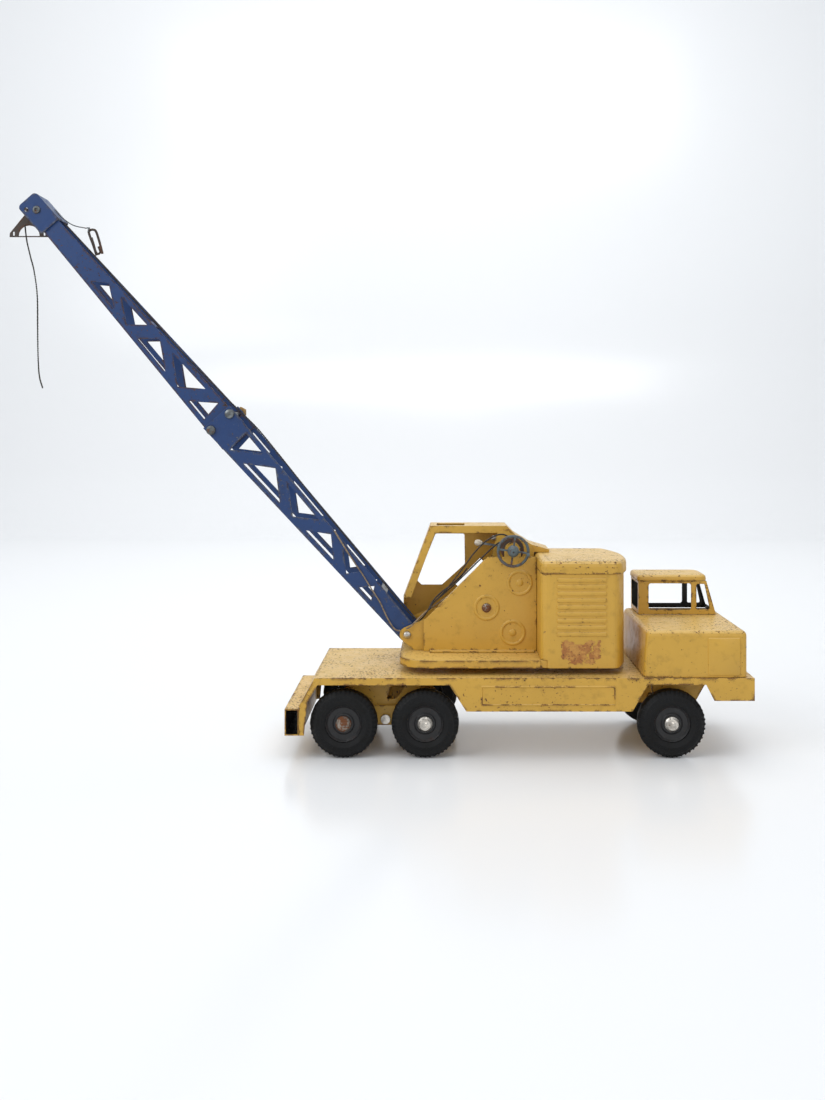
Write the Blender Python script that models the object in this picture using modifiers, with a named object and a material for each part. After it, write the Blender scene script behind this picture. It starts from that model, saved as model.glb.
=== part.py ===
"""A pressed-steel toy crane truck: a six-wheeled carrier, a slewing machinery house and a latticed boom.

X points to the truck's front, Y to its left and Z up. The sizes below are in millimetres.
"""

import math

import bmesh
import bpy
from mathutils import Matrix, Vector

MM = 0.001

# sheet metal and clearances
SHEET = 1.2
GAP = 0.3
PIN = 2.2
BORE = PIN + 0.4

# carrier
DECK_TOP = 75.2
DECK_HALF = 70.0
DECK_REAR = -117.4
DECK_FRONT = 291.0
TAIL_X = -131.6
TAIL_BEND = 49.6
TAIL_BOTTOM = 22.0
SKIRT_BOTTOM = 44.3
ARCH_TOP = 69.1
REAR_ARCH_TOP = 68.6
NOSE_BOTTOM = 54.2
BUMPER_LENGTH = 13.2
BUMPER_HEIGHT = 24.5

# driver's cab
HOOD_REAR = 188.7
HOOD_LEAN = 2.9
HOOD_FRONT = 285.0
HOOD_HALF = 68.0
HOOD_TOP = 118.5
CABIN_REAR = 199.3
CABIN_FRONT = 277.6
CABIN_NEAR = 22.0
CABIN_FAR = 66.0
CABIN_TOP = 152.6
CABIN_RAKE = 9.7
ROOF_HEIGHT = 5.7

# wheels
TYRE_R = 31.75
RIM_R = 17.0
TYRE_OUT = 69.3
TYRE_WIDTH = 19.5
AXLE_R = 2.0
AXLE_Z = TYRE_R
FRONT_AXLE = 215.1
BOGIE_X = -52.8
BOGIE_HALF = 38.0
BOGIE_Z = AXLE_Z - 1.75
PLATE_LOW = AXLE_Z - 7.75

# slewing machinery house
SLEW_X = 40.0
PAN_TOP = 88.7
PAN_BOTTOM = 81.6
PAN_FRONT = -39.5
HOUSE_HALF = 57.5
HOUSING_FRONT = 93.8
TAIL_R = 139.0
HOUSING_SEAM = 170.0
HOUSING_TOP = 182.0
PLATE_Y = -12.0
INNER_Y = 15.0
CAB_Y = 16.5
WINCH_X = 70.0
WINCH_Z = 187.6
GUIDE_X = 44.5
GUIDE_Z = 131.2

# boom, measured along it from the foot pin (u) and square to it (v)
FOOT_X = -33.3
FOOT_Z = 103.9
BOOM_ANGLE = math.radians(48.75)
BOOM_Y = 18.2
BOOM_HALF = 24.0
HEAD_HALF = 13.0
JOINT_U = 285.0
LAP = 28.0
HEAD_U = 558.3
CHORD = 5.0
LOWER_STATIONS = (57.0, 84.5, 123.5, 161.5, 208.5, 251.5)
UPPER_STATIONS = (294.5, 333.5, 381.0, 413.5, 456.5)

YELLOW = ((0.60, 0.36, 0.06), 0.42, 0.0)
BLUE = ((0.015, 0.035, 0.13), 0.45, 0.0)
BLACK = ((0.012, 0.012, 0.013), 0.7, 0.0)
NICKEL = ((0.62, 0.58, 0.52), 0.3, 1.0)
BROWN = ((0.05, 0.032, 0.022), 0.7, 0.5)
GREY = ((0.11, 0.14, 0.155), 0.45, 0.6)
BRASS = ((0.32, 0.2, 0.09), 0.5, 1.0)
IVORY = ((0.55, 0.49, 0.38), 0.5, 0.0)
TAN = ((0.30, 0.22, 0.14), 0.9, 0.0)
DARK = ((0.022, 0.018, 0.016), 0.9, 0.0)

for old in list(bpy.data.objects):
    bpy.data.objects.remove(old)

parts = bpy.data.collections.new("toy_crane_truck")
cutters = bpy.data.collections.new("cutters")
bpy.context.scene.collection.children.link(parts)
bpy.context.scene.collection.children.link(cutters)


def pivot(name, x, y, z, parent=None):
    """An empty that stands on a joint's axis."""
    empty = bpy.data.objects.new(name, None)
    empty.location = Vector((x, y, z)) * MM
    empty.empty_display_size = 0.01
    parts.objects.link(empty)
    if parent:
        hang(empty, parent)
    return empty


def hang(piece, parent):
    """Keeps a piece where it is, relative to the truck's own frame, under the empty that it moves with."""
    piece.parent = parent
    if parent.parent:
        piece.matrix_parent_inverse = parent.matrix_basis.inverted()


def finish(piece, name, coat, parent, smooth=True):
    """Names a piece, paints it and hangs it from the empty that it moves with."""
    piece.name = name
    piece.data.name = name
    colour, rough, metal = coat
    paint = bpy.data.materials.new(name)
    paint.use_nodes = True
    shader = paint.node_tree.nodes["Principled BSDF"]
    shader.inputs["Base Color"].default_value = (*colour, 1.0)
    shader.inputs["Roughness"].default_value = rough
    shader.inputs["Metallic"].default_value = metal
    piece.data.materials.clear()
    piece.data.materials.append(paint)
    parts.objects.link(piece)
    hang(piece, parent)
    if smooth and piece.type == "MESH":
        piece.data.shade_smooth()
        piece.data.set_sharp_from_angle(angle=math.radians(35))
    return piece


def tool(piece, parent):
    """Keeps a cutter, or a piece to be joined, out of the finished object."""
    cutters.objects.link(piece)
    hang(piece, parent)
    piece.hide_render = True
    piece.display_type = "WIRE"
    return piece


def combine(target, other, operation="DIFFERENCE"):
    step = target.modifiers.new(operation.lower(), "BOOLEAN")
    step.object = other
    step.operation = operation
    step.solver = "EXACT"


def block(x0, x1, y0, y1, z0, z1):
    """A box between two corners."""
    mesh = bpy.data.meshes.new("block")
    form = bmesh.new()
    bmesh.ops.create_cube(form, size=1.0)
    size = Vector((x1 - x0, y1 - y0, z1 - z0)) * MM
    middle = Vector((x0 + x1, y0 + y1, z0 + z1)) * MM / 2
    bmesh.ops.transform(
        form, matrix=Matrix.Translation(middle) @ Matrix.Diagonal((*size, 1)), verts=form.verts,
    )
    form.to_mesh(mesh)
    form.free()
    return bpy.data.objects.new("block", mesh)


def rod(radius, y0, y1, x, z, sides=20):
    """A cylinder along Y."""
    mesh = bpy.data.meshes.new("rod")
    form = bmesh.new()
    bmesh.ops.create_cone(
        form, cap_ends=True, segments=sides, radius1=radius * MM, radius2=radius * MM, depth=(y1 - y0) * MM
    )
    turn = Matrix.Translation(Vector((x, (y0 + y1) / 2, z)) * MM) @ Matrix.Rotation(math.pi / 2, 4, "X")
    bmesh.ops.transform(form, matrix=turn, verts=form.verts)
    form.to_mesh(mesh)
    form.free()
    return bpy.data.objects.new("rod", mesh)


def rounded(points, radii, steps=4):
    """An outline's corners turned into arcs, one radius for each corner."""
    outline = []
    count = len(points)
    for i, corner in enumerate(points):
        radius = radii[i] if isinstance(radii, (list, tuple)) else radii
        here = Vector(corner)
        if radius <= 0:
            outline.append(tuple(here))
            continue
        back = (Vector(points[i - 1]) - here).normalized()
        ahead = (Vector(points[(i + 1) % count]) - here).normalized()
        half = back.angle(ahead) / 2
        centre = here + (back + ahead).normalized() * radius / math.sin(half)
        first = here + back * radius / math.tan(half) - centre
        last = here + ahead * radius / math.tan(half) - centre
        for k in range(steps + 1):
            arm = first.lerp(last, k / steps).normalized() * radius
            outline.append(tuple(centre + arm))
    return outline


def circle(x, z, radius, sides=20):
    turns = (2 * math.pi * k / sides for k in range(sides))
    return [(x + radius * math.cos(t), z + radius * math.sin(t)) for t in turns]


def sheet(loops, thickness, placed):
    """A flat outline with its holes, given a thickness, as a welded mesh."""
    curve = bpy.data.curves.new("outline", "CURVE")
    curve.dimensions = "2D"
    curve.fill_mode = "BOTH"
    curve.extrude = thickness / 2 * MM
    for loop in loops:
        spline = curve.splines.new("POLY")
        spline.points.add(len(loop) - 1)
        for point, (a, b) in zip(spline.points, loop):
            point.co = (a * MM, b * MM, 0, 1)
        spline.use_cyclic_u = True
    drawn = bpy.data.objects.new("outline", curve)
    bpy.context.scene.collection.objects.link(drawn)
    graph = bpy.context.evaluated_depsgraph_get()
    mesh = bpy.data.meshes.new_from_object(drawn.evaluated_get(graph))
    bpy.data.objects.remove(drawn)
    form = bmesh.new()
    form.from_mesh(mesh)
    bmesh.ops.remove_doubles(form, verts=form.verts, dist=0.00001)
    bmesh.ops.recalc_face_normals(form, faces=form.faces)
    form.to_mesh(mesh)
    form.free()
    piece = bpy.data.objects.new("sheet", mesh)
    piece.matrix_basis = placed
    return piece


def side(loops, y0, y1):
    """A sheet that stands in the XZ plane between two Y values."""
    placed = Matrix.Translation((0, (y0 + y1) / 2 * MM, 0)) @ Matrix.Rotation(math.pi / 2, 4, "X")
    return sheet(loops, y1 - y0, placed)


def plan(loops, z0, z1):
    """A sheet that lies level between two heights."""
    return sheet(loops, z1 - z0, Matrix.Translation((0, 0, (z0 + z1) / 2 * MM)))


def turned(profile, placed, steps=24):
    """A profile of (radius, height) pairs, top to bottom, turned about its own Z axis."""
    mesh = bpy.data.meshes.new("turned")
    ends = [(i, i + 1) for i in range(len(profile) - 1)]
    if profile[0][0] > 0:
        ends.append((len(profile) - 1, 0))
    mesh.from_pydata([(r * MM, 0, h * MM) for r, h in profile], ends, [])
    piece = bpy.data.objects.new("turned", mesh)
    piece.matrix_basis = placed
    spin = piece.modifiers.new("turn", "SCREW")
    spin.steps = steps
    spin.render_steps = steps
    spin.use_merge_vertices = True
    spin.merge_threshold = 0.00001
    spin.use_smooth_shade = True
    return piece


def across(x, y, z, outward=1):
    """A placing whose local Z runs along +Y, or along -Y."""
    return Matrix.Translation(Vector((x, y, z)) * MM) @ Matrix.Rotation(-outward * math.pi / 2, 4, "X")


def smooth_route(points, spacing):
    """Evenly spaced points on a Catmull-Rom curve through a route's own points."""
    route = [Vector(p) for p in points]
    route = [route[0] * 2 - route[1], *route, route[-1] * 2 - route[-2]]
    fine = []
    for a, b, c, d in zip(route, route[1:], route[2:], route[3:]):
        for k in range(12):
            t = k / 12
            curve = (2 * a - 5 * b + 4 * c - d) * t**2 + (3 * b - a - 3 * c + d) * t**3
            fine.append(0.5 * (2 * b + (c - a) * t + curve))
    fine.append(route[-2])
    kept = [fine[0]]
    for point in fine[1:-1]:
        if (point - kept[-1]).length >= spacing:
            kept.append(point)
    return [*kept, fine[-1]]


def cord(points, diameter, spacing):
    """A round cord or wire with closed ends."""
    curve = bpy.data.curves.new("cord", "CURVE")
    curve.dimensions = "3D"
    curve.bevel_depth = diameter / 2 * MM
    curve.bevel_resolution = 2
    curve.use_fill_caps = True
    spline = curve.splines.new("POLY")
    route = smooth_route(points, spacing)
    spline.points.add(len(route) - 1)
    for point, place in zip(spline.points, route):
        point.co = (*(place * MM), 1)
    return bpy.data.objects.new("cord", curve)


# the point under the middle of the whole truck, boom included
LEFT_END = -433.8
frame = pivot("truck_frame", -(LEFT_END + DECK_FRONT) / 2, 0, 0)
slew = pivot("slew_axis", SLEW_X, 0, PAN_BOTTOM, frame)
luff = pivot("luff_axis", FOOT_X, BOOM_Y, FOOT_Z, slew)
winch = pivot("winch_axis", WINCH_X, PLATE_Y, WINCH_Z, slew)
lever_axis = pivot("lever_axis", WINCH_X, INNER_Y, WINCH_Z, slew)
guide = pivot("guide_axis", GUIDE_X, PLATE_Y, GUIDE_Z, slew)
sheave_axis = pivot("sheave_axis", -401.4, BOOM_Y, 523.6, luff)
hook_axis = pivot("hook_axis", -411.9, BOOM_Y, 524.0, luff)
clip_axis = pivot("clip_axis", -354.2, BOOM_Y, 506.6, luff)
bogie = pivot("bogie_axis", BOGIE_X, 0, BOGIE_Z, frame)


def deck_frame():
    """The deck, its skirts with their wheel arches, and the sloping tail panel, pressed from one sheet."""
    outline = [
        (DECK_REAR, DECK_TOP),
        (DECK_FRONT, DECK_TOP),
        (DECK_FRONT, NOSE_BOTTOM),
        (253.7, NOSE_BOTTOM),
        (246.2, ARCH_TOP),
        (191.9, ARCH_TOP),
        (177.7, SKIRT_BOTTOM),
        (23.5, SKIRT_BOTTOM),
        (7.9, REAR_ARCH_TOP),
        (-114.5, REAR_ARCH_TOP),
        (-124.4, 52.4),
        (-127.2, TAIL_BOTTOM),
        (TAIL_X, TAIL_BOTTOM),
        (TAIL_X, TAIL_BEND),
    ]
    deck = side([outline], -DECK_HALF, DECK_HALF)
    inside = [
        (DECK_REAR + 0.7, DECK_TOP - SHEET),
        (DECK_FRONT - SHEET, DECK_TOP - SHEET),
        (DECK_FRONT - SHEET, 0),
        (TAIL_X + SHEET, 0),
        (TAIL_X + SHEET, TAIL_BEND - 0.3),
    ]
    hollow = tool(side([inside], SHEET - DECK_HALF, DECK_HALF - SHEET), frame)
    combine(deck, hollow)
    finish(deck, "deck_frame", YELLOW, frame)


def rear_bumper():
    """A rectangular channel across the tail, open at both ends."""
    front = TAIL_X - GAP
    rear = front - BUMPER_LENGTH
    top = TAIL_BOTTOM + BUMPER_HEIGHT
    outer = [(rear, TAIL_BOTTOM), (front, TAIL_BOTTOM), (front, top), (rear, top)]
    inner = [
        (rear + SHEET, TAIL_BOTTOM + SHEET),
        (front - SHEET, TAIL_BOTTOM + SHEET),
        (front - SHEET, top - SHEET),
        (rear + SHEET, top - SHEET),
    ]
    finish(side([outer, inner], -DECK_HALF, DECK_HALF), "rear_bumper", YELLOW, frame)


def hood_form(inset, bottom):
    """The driver's lower body: a box with a leaning rear wall and rounded upper corners."""
    top = HOOD_TOP - inset
    form = bmesh.new()
    bmesh.ops.create_cube(form, size=1.0)
    for vert in form.verts:
        high = vert.co.z > 0
        rear = HOOD_REAR + (HOOD_LEAN if high else 0) + inset
        vert.co.x = HOOD_FRONT - inset if vert.co.x > 0 else rear
        vert.co.y = math.copysign(HOOD_HALF - inset, vert.co.y)
        vert.co.z = top if high else bottom
        vert.co *= MM
    soft = [edge for edge in form.edges if max(v.co.z for v in edge.verts) > bottom * MM + 1e-6]
    radius = (4.5 - inset / 2) * MM
    bmesh.ops.bevel(
        form, geom=soft, offset=radius, segments=3, profile=0.5, affect="EDGES", material=-1,
    )
    mesh = bpy.data.meshes.new("hood")
    form.to_mesh(mesh)
    form.free()
    return bpy.data.objects.new("hood", mesh)


def hood_body():
    hood = hood_form(0, DECK_TOP + GAP)
    combine(hood, tool(hood_form(SHEET, 0), frame))
    well = block(CABIN_REAR + 5, CABIN_FRONT - 6, CABIN_NEAR + 5, CABIN_FAR - 5, 100, 130)
    combine(hood, tool(well, frame))
    finish(hood, "hood_body", YELLOW, frame)


def cabin():
    """The offset half-cabin: four walls with windows, and a pressed roof."""
    base = HOOD_TOP + GAP
    walls = [
        (CABIN_REAR, base),
        (CABIN_FRONT, base),
        (CABIN_FRONT - CABIN_RAKE, CABIN_TOP),
        (CABIN_REAR, CABIN_TOP),
    ]
    window = rounded([(209.6, 123.5), (252.6, 123.5), (252.6, 150.1), (209.6, 150.1)], 2.5)
    quarter = rounded([(257.9, 123.9), (271.5, 123.9), (266.1, 149.5), (257.9, 149.5)], 1.5)
    shell = side([walls, window, quarter], CABIN_NEAR, CABIN_FAR)
    room = [
        (CABIN_REAR + SHEET, base - 1),
        (CABIN_FRONT - SHEET + 0.3, base - 1),
        (CABIN_FRONT - CABIN_RAKE - SHEET - 0.3, CABIN_TOP + 1),
        (CABIN_REAR + SHEET, CABIN_TOP + 1),
    ]
    combine(shell, tool(side([room], CABIN_NEAR + SHEET, CABIN_FAR - SHEET), frame))
    glass = block(CABIN_REAR - 6, CABIN_FRONT + 6, CABIN_NEAR + 4, CABIN_FAR - 4, 123.5, 149.5)
    combine(shell, tool(glass, frame))
    finish(shell, "cabin_walls", YELLOW, frame)

    low = CABIN_TOP + GAP
    corners = [
        (CABIN_REAR - 1.2, CABIN_NEAR - 1.2),
        (CABIN_FRONT - CABIN_RAKE + 1.0, CABIN_NEAR - 1.2),
        (CABIN_FRONT - CABIN_RAKE + 1.0, CABIN_FAR + 1.2),
        (CABIN_REAR - 1.2, CABIN_FAR + 1.2),
    ]
    roof = plan([rounded(corners, (3, 9, 9, 3))], low, low + ROOF_HEIGHT)
    soften(roof, 3.5)
    near, far = CABIN_NEAR + 2.5, CABIN_FAR - 2.5
    under = block(CABIN_REAR + 2.5, CABIN_FRONT - CABIN_RAKE - 3, near, far, 100, low + 3.5)
    combine(roof, tool(under, frame))
    finish(roof, "cabin_roof", YELLOW, frame)


def soften(piece, radius):
    """Rounds the upper rim of a level sheet."""
    form = bmesh.new()
    form.from_mesh(piece.data)
    top = max(v.co.z for v in form.verts) - 1e-6
    rim = [e for e in form.edges if e.is_boundary is False and all(v.co.z > top for v in e.verts)]
    rim = [e for e in rim if abs(e.link_faces[0].normal.z - e.link_faces[1].normal.z) > 0.5]
    bmesh.ops.bevel(
        form, geom=rim, offset=radius * MM, segments=3, profile=0.5, affect="EDGES", material=-1,
    )
    form.to_mesh(piece.data)
    form.free()


def hanger(name, outline, half, holes, slots=()):
    """A U-shaped bracket under the deck: two plates joined by a web at the top."""
    bracket = side([outline, *holes, *slots], -half, half)
    inside = block(-200, 300, SHEET - half, half - SHEET, 0, DECK_TOP - 2 * SHEET - GAP)
    combine(bracket, tool(inside, frame))
    finish(bracket, name, YELLOW, frame)


def brackets():
    top = DECK_TOP - SHEET - GAP
    front = [(199, top), (256, top), (FRONT_AXLE + 12.9, PLATE_LOW), (FRONT_AXLE - 13.1, PLATE_LOW)]
    hanger("front_hanger", front, 46.0, [circle(FRONT_AXLE, AXLE_Z, BORE)])
    rear = [
        (-113, top), (5, top), (BOGIE_X + 13, 46), (BOGIE_X + 9, PLATE_LOW),
        (BOGIE_X - 9, PLATE_LOW), (BOGIE_X - 13, 46),
    ]
    window = [(-46, 66), (-29, 66), (-43, 48), (-52, 48)]
    hanger("bogie_hanger", rear, 36.5, [circle(BOGIE_X, BOGIE_Z, BORE)], [window])


def bogie_beam():
    """The rocking beam that carries the two rear axles, an inverted channel with its middle left open."""
    ends = (BOGIE_X - BOGIE_HALF, BOGIE_X + BOGIE_HALF)
    beam_top = AXLE_Z + 10.75
    outline = rounded(
        [
            (ends[0] - 9, PLATE_LOW), (ends[1] + 9, PLATE_LOW), (ends[1] + 9, beam_top),
            (ends[0] - 9, beam_top),
        ], 4,
    )
    holes = [circle(x, AXLE_Z, BORE) for x in ends] + [circle(BOGIE_X, BOGIE_Z, BORE)]
    beam = side([outline, *holes], -40.5, 40.5)
    combine(beam, tool(block(-200, 100, SHEET - 40.5, 40.5 - SHEET, 0, beam_top - SHEET), bogie))
    combine(beam, tool(block(BOGIE_X - 20, BOGIE_X + 20, SHEET - 40.5, 40.5 - SHEET, 30, 60), bogie))
    finish(beam, "bogie_beam", YELLOW, bogie)
    stud = [
        (0, 43.5), (4.5, 43.5), (4.5, 41.0), (AXLE_R, 41.0), (AXLE_R, -41.0), (4.5, -41.0),
        (4.5, -43.5), (0, -43.5),
    ]
    finish(turned(stud, across(BOGIE_X, 0, BOGIE_Z)), "bogie_pin", NICKEL, frame)


def axle(name, x, parent):
    """An axle with a domed cap pressed on each end."""
    cap = [(0, 69.8), (3.2, 69.5), (5.6, 68.7), (7.0, 67.4), (7.5, 66.0), (AXLE_R, 66.0)]
    profile = cap + [(r, -h) for r, h in reversed(cap)]
    finish(turned(profile, across(x, 0, AXLE_Z)), name, NICKEL, parent)


def wheel(name, x, facing, parent):
    """A moulded tyre on a dished disc, turning freely on its axle."""
    spin = pivot(name + "_axis", x, facing * (TYRE_OUT - TYRE_WIDTH / 2), AXLE_Z, parent)
    placed = across(x, 0, AXLE_Z, facing)
    low = TYRE_OUT - TYRE_WIDTH
    tread = [
        (RIM_R + GAP, TYRE_OUT - 2.0),
        (RIM_R + 4.5, TYRE_OUT),
        (TYRE_R - 4.75, TYRE_OUT - 0.3),
        (TYRE_R - 0.95, TYRE_OUT - 3.6),
        (TYRE_R, TYRE_OUT - 8.0),
        (TYRE_R, low + 8.0),
        (TYRE_R - 0.95, low + 3.6),
        (TYRE_R - 4.75, low + 0.3),
        (RIM_R + GAP, low),
    ]
    finish(turned(tread, placed, 24), name + "_tyre", BLACK, spin)
    disc = [
        (BORE, 65.4),
        (9.0, 65.4),
        (10.5, 64.0),
        (15.0, 64.4),
        (RIM_R, 66.4),
        (RIM_R, 52.5),
        (15.5, 52.5),
        (14.0, 62.0),
        (5.0, 62.0),
        (5.0, 52.5),
        (BORE, 52.5),
    ]
    finish(turned(disc, placed, 18), name + "_disc", BLACK, spin)


deck_frame()
rear_bumper()
hood_body()
cabin()
brackets()
bogie_beam()
axle("front_axle", FRONT_AXLE, frame)
axle("rear_axle_1", BOGIE_X + BOGIE_HALF, bogie)
axle("rear_axle_2", BOGIE_X - BOGIE_HALF, bogie)
for number, (wheel_x, carried) in enumerate(
    ((FRONT_AXLE, frame), (BOGIE_X + BOGIE_HALF, bogie), (BOGIE_X - BOGIE_HALF, bogie)), 1
):
    wheel(f"wheel_right_{number}", wheel_x, -1, carried)
    wheel(f"wheel_left_{number}", wheel_x, 1, carried)


def turntable():
    """The bearing that the house turns on, with the rivet that holds it down."""
    profile = [
        (0, 92.0),
        (5.0, 91.4),
        (8.0, 89.6),
        (8.0, 89.0),
        (4.0, 89.0),
        (4.0, 87.2),
        (13.0, 87.2),
        (13.0, 78.5),
        (32.0, 78.5),
        (33.0, DECK_TOP + GAP),
        (0, DECK_TOP + GAP),
    ]
    finish(turned(profile, Matrix.Translation((SLEW_X * MM, 0, 0)), 32), "turntable", BROWN, frame)


def tail_outline(radius, half, front, corner, nose):
    """A plan outline whose tail is an arc about the slewing axis, with a corner radius at tail and nose."""
    reach = math.asin(half / radius)
    arc = []
    for k in range(15):
        turn = -reach + 2 * reach * k / 14
        arc.append((SLEW_X + radius * math.cos(turn), radius * math.sin(turn)))
    points = [(front, -half), *arc, (front, half)]
    radii = [nose, corner, *[0] * 13, corner, nose]
    return rounded(points, radii)


def base_pan():
    """The shallow pan under the house, open below, with broad front corners."""
    inner = HOUSE_HALF - SHEET - 0.4
    tail = tail_outline(TAIL_R - SHEET - 0.5, inner, HOUSING_FRONT - 0.4, 9, 0)
    front = rounded(
        [
            (0, HOUSE_HALF), (PAN_FRONT, HOUSE_HALF), (PAN_FRONT, -HOUSE_HALF), (0, -HOUSE_HALF),
        ], (0, 26, 26, 0), 8
    )
    outline = [
        *front[1:-1], (HOUSING_FRONT - 0.4, -HOUSE_HALF), *tail,
        (HOUSING_FRONT - 0.4, HOUSE_HALF),
    ]
    pan = plan([outline, circle(SLEW_X, 0, 4.4)], PAN_BOTTOM, PAN_TOP)
    well = rounded(
        [
            (PAN_FRONT + SHEET, SHEET - HOUSE_HALF),
            (HOUSING_FRONT - 2, SHEET - HOUSE_HALF),
            (HOUSING_FRONT - 2, HOUSE_HALF - SHEET),
            (PAN_FRONT + SHEET, HOUSE_HALF - SHEET),
        ],
        (25, 0, 0, 25),
        8,
    )
    combine(pan, tool(plan([well], PAN_BOTTOM - 5, PAN_TOP - SHEET), slew))
    deep = tail_outline(TAIL_R - 2 * SHEET - 0.6, inner - SHEET, HOUSING_FRONT - 3, 9, 0)
    combine(pan, tool(plan([deep], PAN_BOTTOM - 5, PAN_TOP - SHEET), slew))
    finish(pan, "base_pan", YELLOW, slew)


def housing():
    """The engine housing: a wrapped wall with an arc tail, under a pressed cap."""
    outer = tail_outline(TAIL_R, HOUSE_HALF, HOUSING_FRONT, 8, 8)
    inner = tail_outline(TAIL_R - SHEET, HOUSE_HALF - SHEET, HOUSING_FRONT + SHEET, 7, 7)
    wall = plan([outer, inner], PAN_BOTTOM, HOUSING_SEAM)
    step = block(
        HOUSING_FRONT - 5, HOUSING_FRONT + 6.2, -HOUSE_HALF - 2, HOUSE_HALF + 2, 70,
        PAN_TOP + GAP,
    )
    combine(wall, tool(step, slew))
    finish(wall, "housing", YELLOW, slew)
    low = HOUSING_SEAM + GAP
    cap = plan([tail_outline(TAIL_R + 2.5, HOUSE_HALF + 1.2, HOUSING_FRONT, 10, 8)], low, HOUSING_TOP)
    soften(cap, 5)
    hollow = tail_outline(TAIL_R - 5, HOUSE_HALF - 6, HOUSING_FRONT + 8, 4, 4)
    combine(cap, tool(plan([hollow], low - 5, HOUSING_TOP - SHEET), slew))
    finish(cap, "housing_cap", YELLOW, slew)


def machinery_plates():
    """The right side plate with its foot flange and edge flange, and the inner plate beside the cab."""
    foot = PAN_TOP + GAP
    rear = HOUSING_FRONT - 0.4
    turns = [k * math.pi / 8 for k in range(9)]
    ear = [(WINCH_X + 8 * math.cos(t), WINCH_Z + 8 * math.sin(t)) for t in turns]
    outline = [
        (-17, foot), (rear, foot), (rear, 181), (78, 181), *ear, (62, 181), (46, 181),
        (-17, 118.5),
    ]
    bores = [circle(WINCH_X, WINCH_Z, BORE), circle(GUIDE_X, GUIDE_Z, BORE)]
    plate = side([outline, *bores], PLATE_Y - SHEET, PLATE_Y)
    combine(plate, tool(block(-11, 91, PLATE_Y - 9, PLATE_Y - 0.5, foot, foot + SHEET), slew), "UNION")
    slope = [(-3.0, 132.0), (43.5, 178.0), (44.5, 177.2), (-2.0, 131.2)]
    combine(plate, tool(side([slope], PLATE_Y - 0.5, PLATE_Y + 8), slew), "UNION")
    finish(plate, "side_plate", YELLOW, slew)
    outline = [
        (-15, foot),
        (rear - SHEET, foot),
        (rear - SHEET, 187.5),
        (89, 189.3),
        (75, 198.2),
        (68, 205.5),
        (57, 203),
        (50, 176),
        (-15, 111),
    ]
    inner = side([outline, *bores], INNER_Y, INNER_Y + SHEET)
    finish(inner, "inner_plate", YELLOW, slew)


def operator_cab():
    """The operator's cab: its roof, raked front, far wall with a window, and the sloping rear cover."""
    foot = PAN_TOP + GAP
    outline = [
        (-38.6, foot),
        (HOUSING_FRONT - 0.4, foot),
        (HOUSING_FRONT - 0.4, HOUSING_TOP + GAP),
        (108.8, HOUSING_TOP + GAP),
        (108.8, 184.8),
        (90.4, 190.2),
        (75.1, 199.6),
        (65.9, 208.6),
        (-10.9, 208.6),
        (-38.6, 134.0),
    ]
    shell = side([outline], CAB_Y, HOUSE_HALF)
    room = [
        (-37.4, 80),
        (HOUSING_FRONT - 1.6, 80),
        (HOUSING_FRONT - 1.6, 187.6),
        (89.8, 189.2),
        (74.4, 198.6),
        (65.4, 207.4),
        (-10.1, 207.4),
        (-37.4, 133.8),
    ]
    combine(shell, tool(side([room], CAB_Y + SHEET, HOUSE_HALF - SHEET), slew))
    door = [(-31.5, 80), (88, 80), (88, 186), (74, 195), (62, 201.5), (-5.8, 201.5), (-31.5, 132.5)]
    combine(shell, tool(side([door], CAB_Y - 2, CAB_Y + 3), slew))
    window = [(-5.6, 197.1), (24.4, 197.1), (24.8, 165.5), (1.0, 144.0), (-20.3, 144.0), (-25.0, 148.6)]
    combine(shell, tool(side([rounded(window, 2.0)], HOUSE_HALF - 4, HOUSE_HALF + 3), slew))
    slot = [(40.6, 171.7), (14.6, 145.2), (20.3, 139.5), (46.3, 166.0)]
    combine(shell, tool(side([slot], HOUSE_HALF - 4, HOUSE_HALF + 3), slew))
    combine(shell, tool(block(-4, 24, 24, 48, 200, 215), slew))
    combine(shell, tool(block(-45, -28, CAB_Y - 3, BOOM_Y + BOOM_HALF + 4.5, 80, 136.6), slew))
    finish(shell, "operator_cab", YELLOW, slew)


def boom_ears():
    """The two lugs on the pan that hold the boom's foot pin."""
    foot = PAN_TOP + GAP
    turns = [math.radians(angle) for angle in range(110, 241, 26)]
    nose = [(FOOT_X + 7.5 * math.cos(t), FOOT_Z + 7.5 * math.sin(t)) for t in turns]
    outline = [*nose, (-26, foot), (-3, foot), (-3, 122), (-12, 121)]
    for name, low in (("boom_ear_right", -8.2), ("boom_ear_left", 43.2)):
        ear = side([outline, circle(FOOT_X, FOOT_Z, BORE)], low, low + 1.4)
        finish(ear, name, YELLOW, slew)


def turned_ring(profile, x, z, steps=20):
    """A closed profile turned about a line along Y."""
    return turned(profile, across(x, 0, z), steps)


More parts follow.
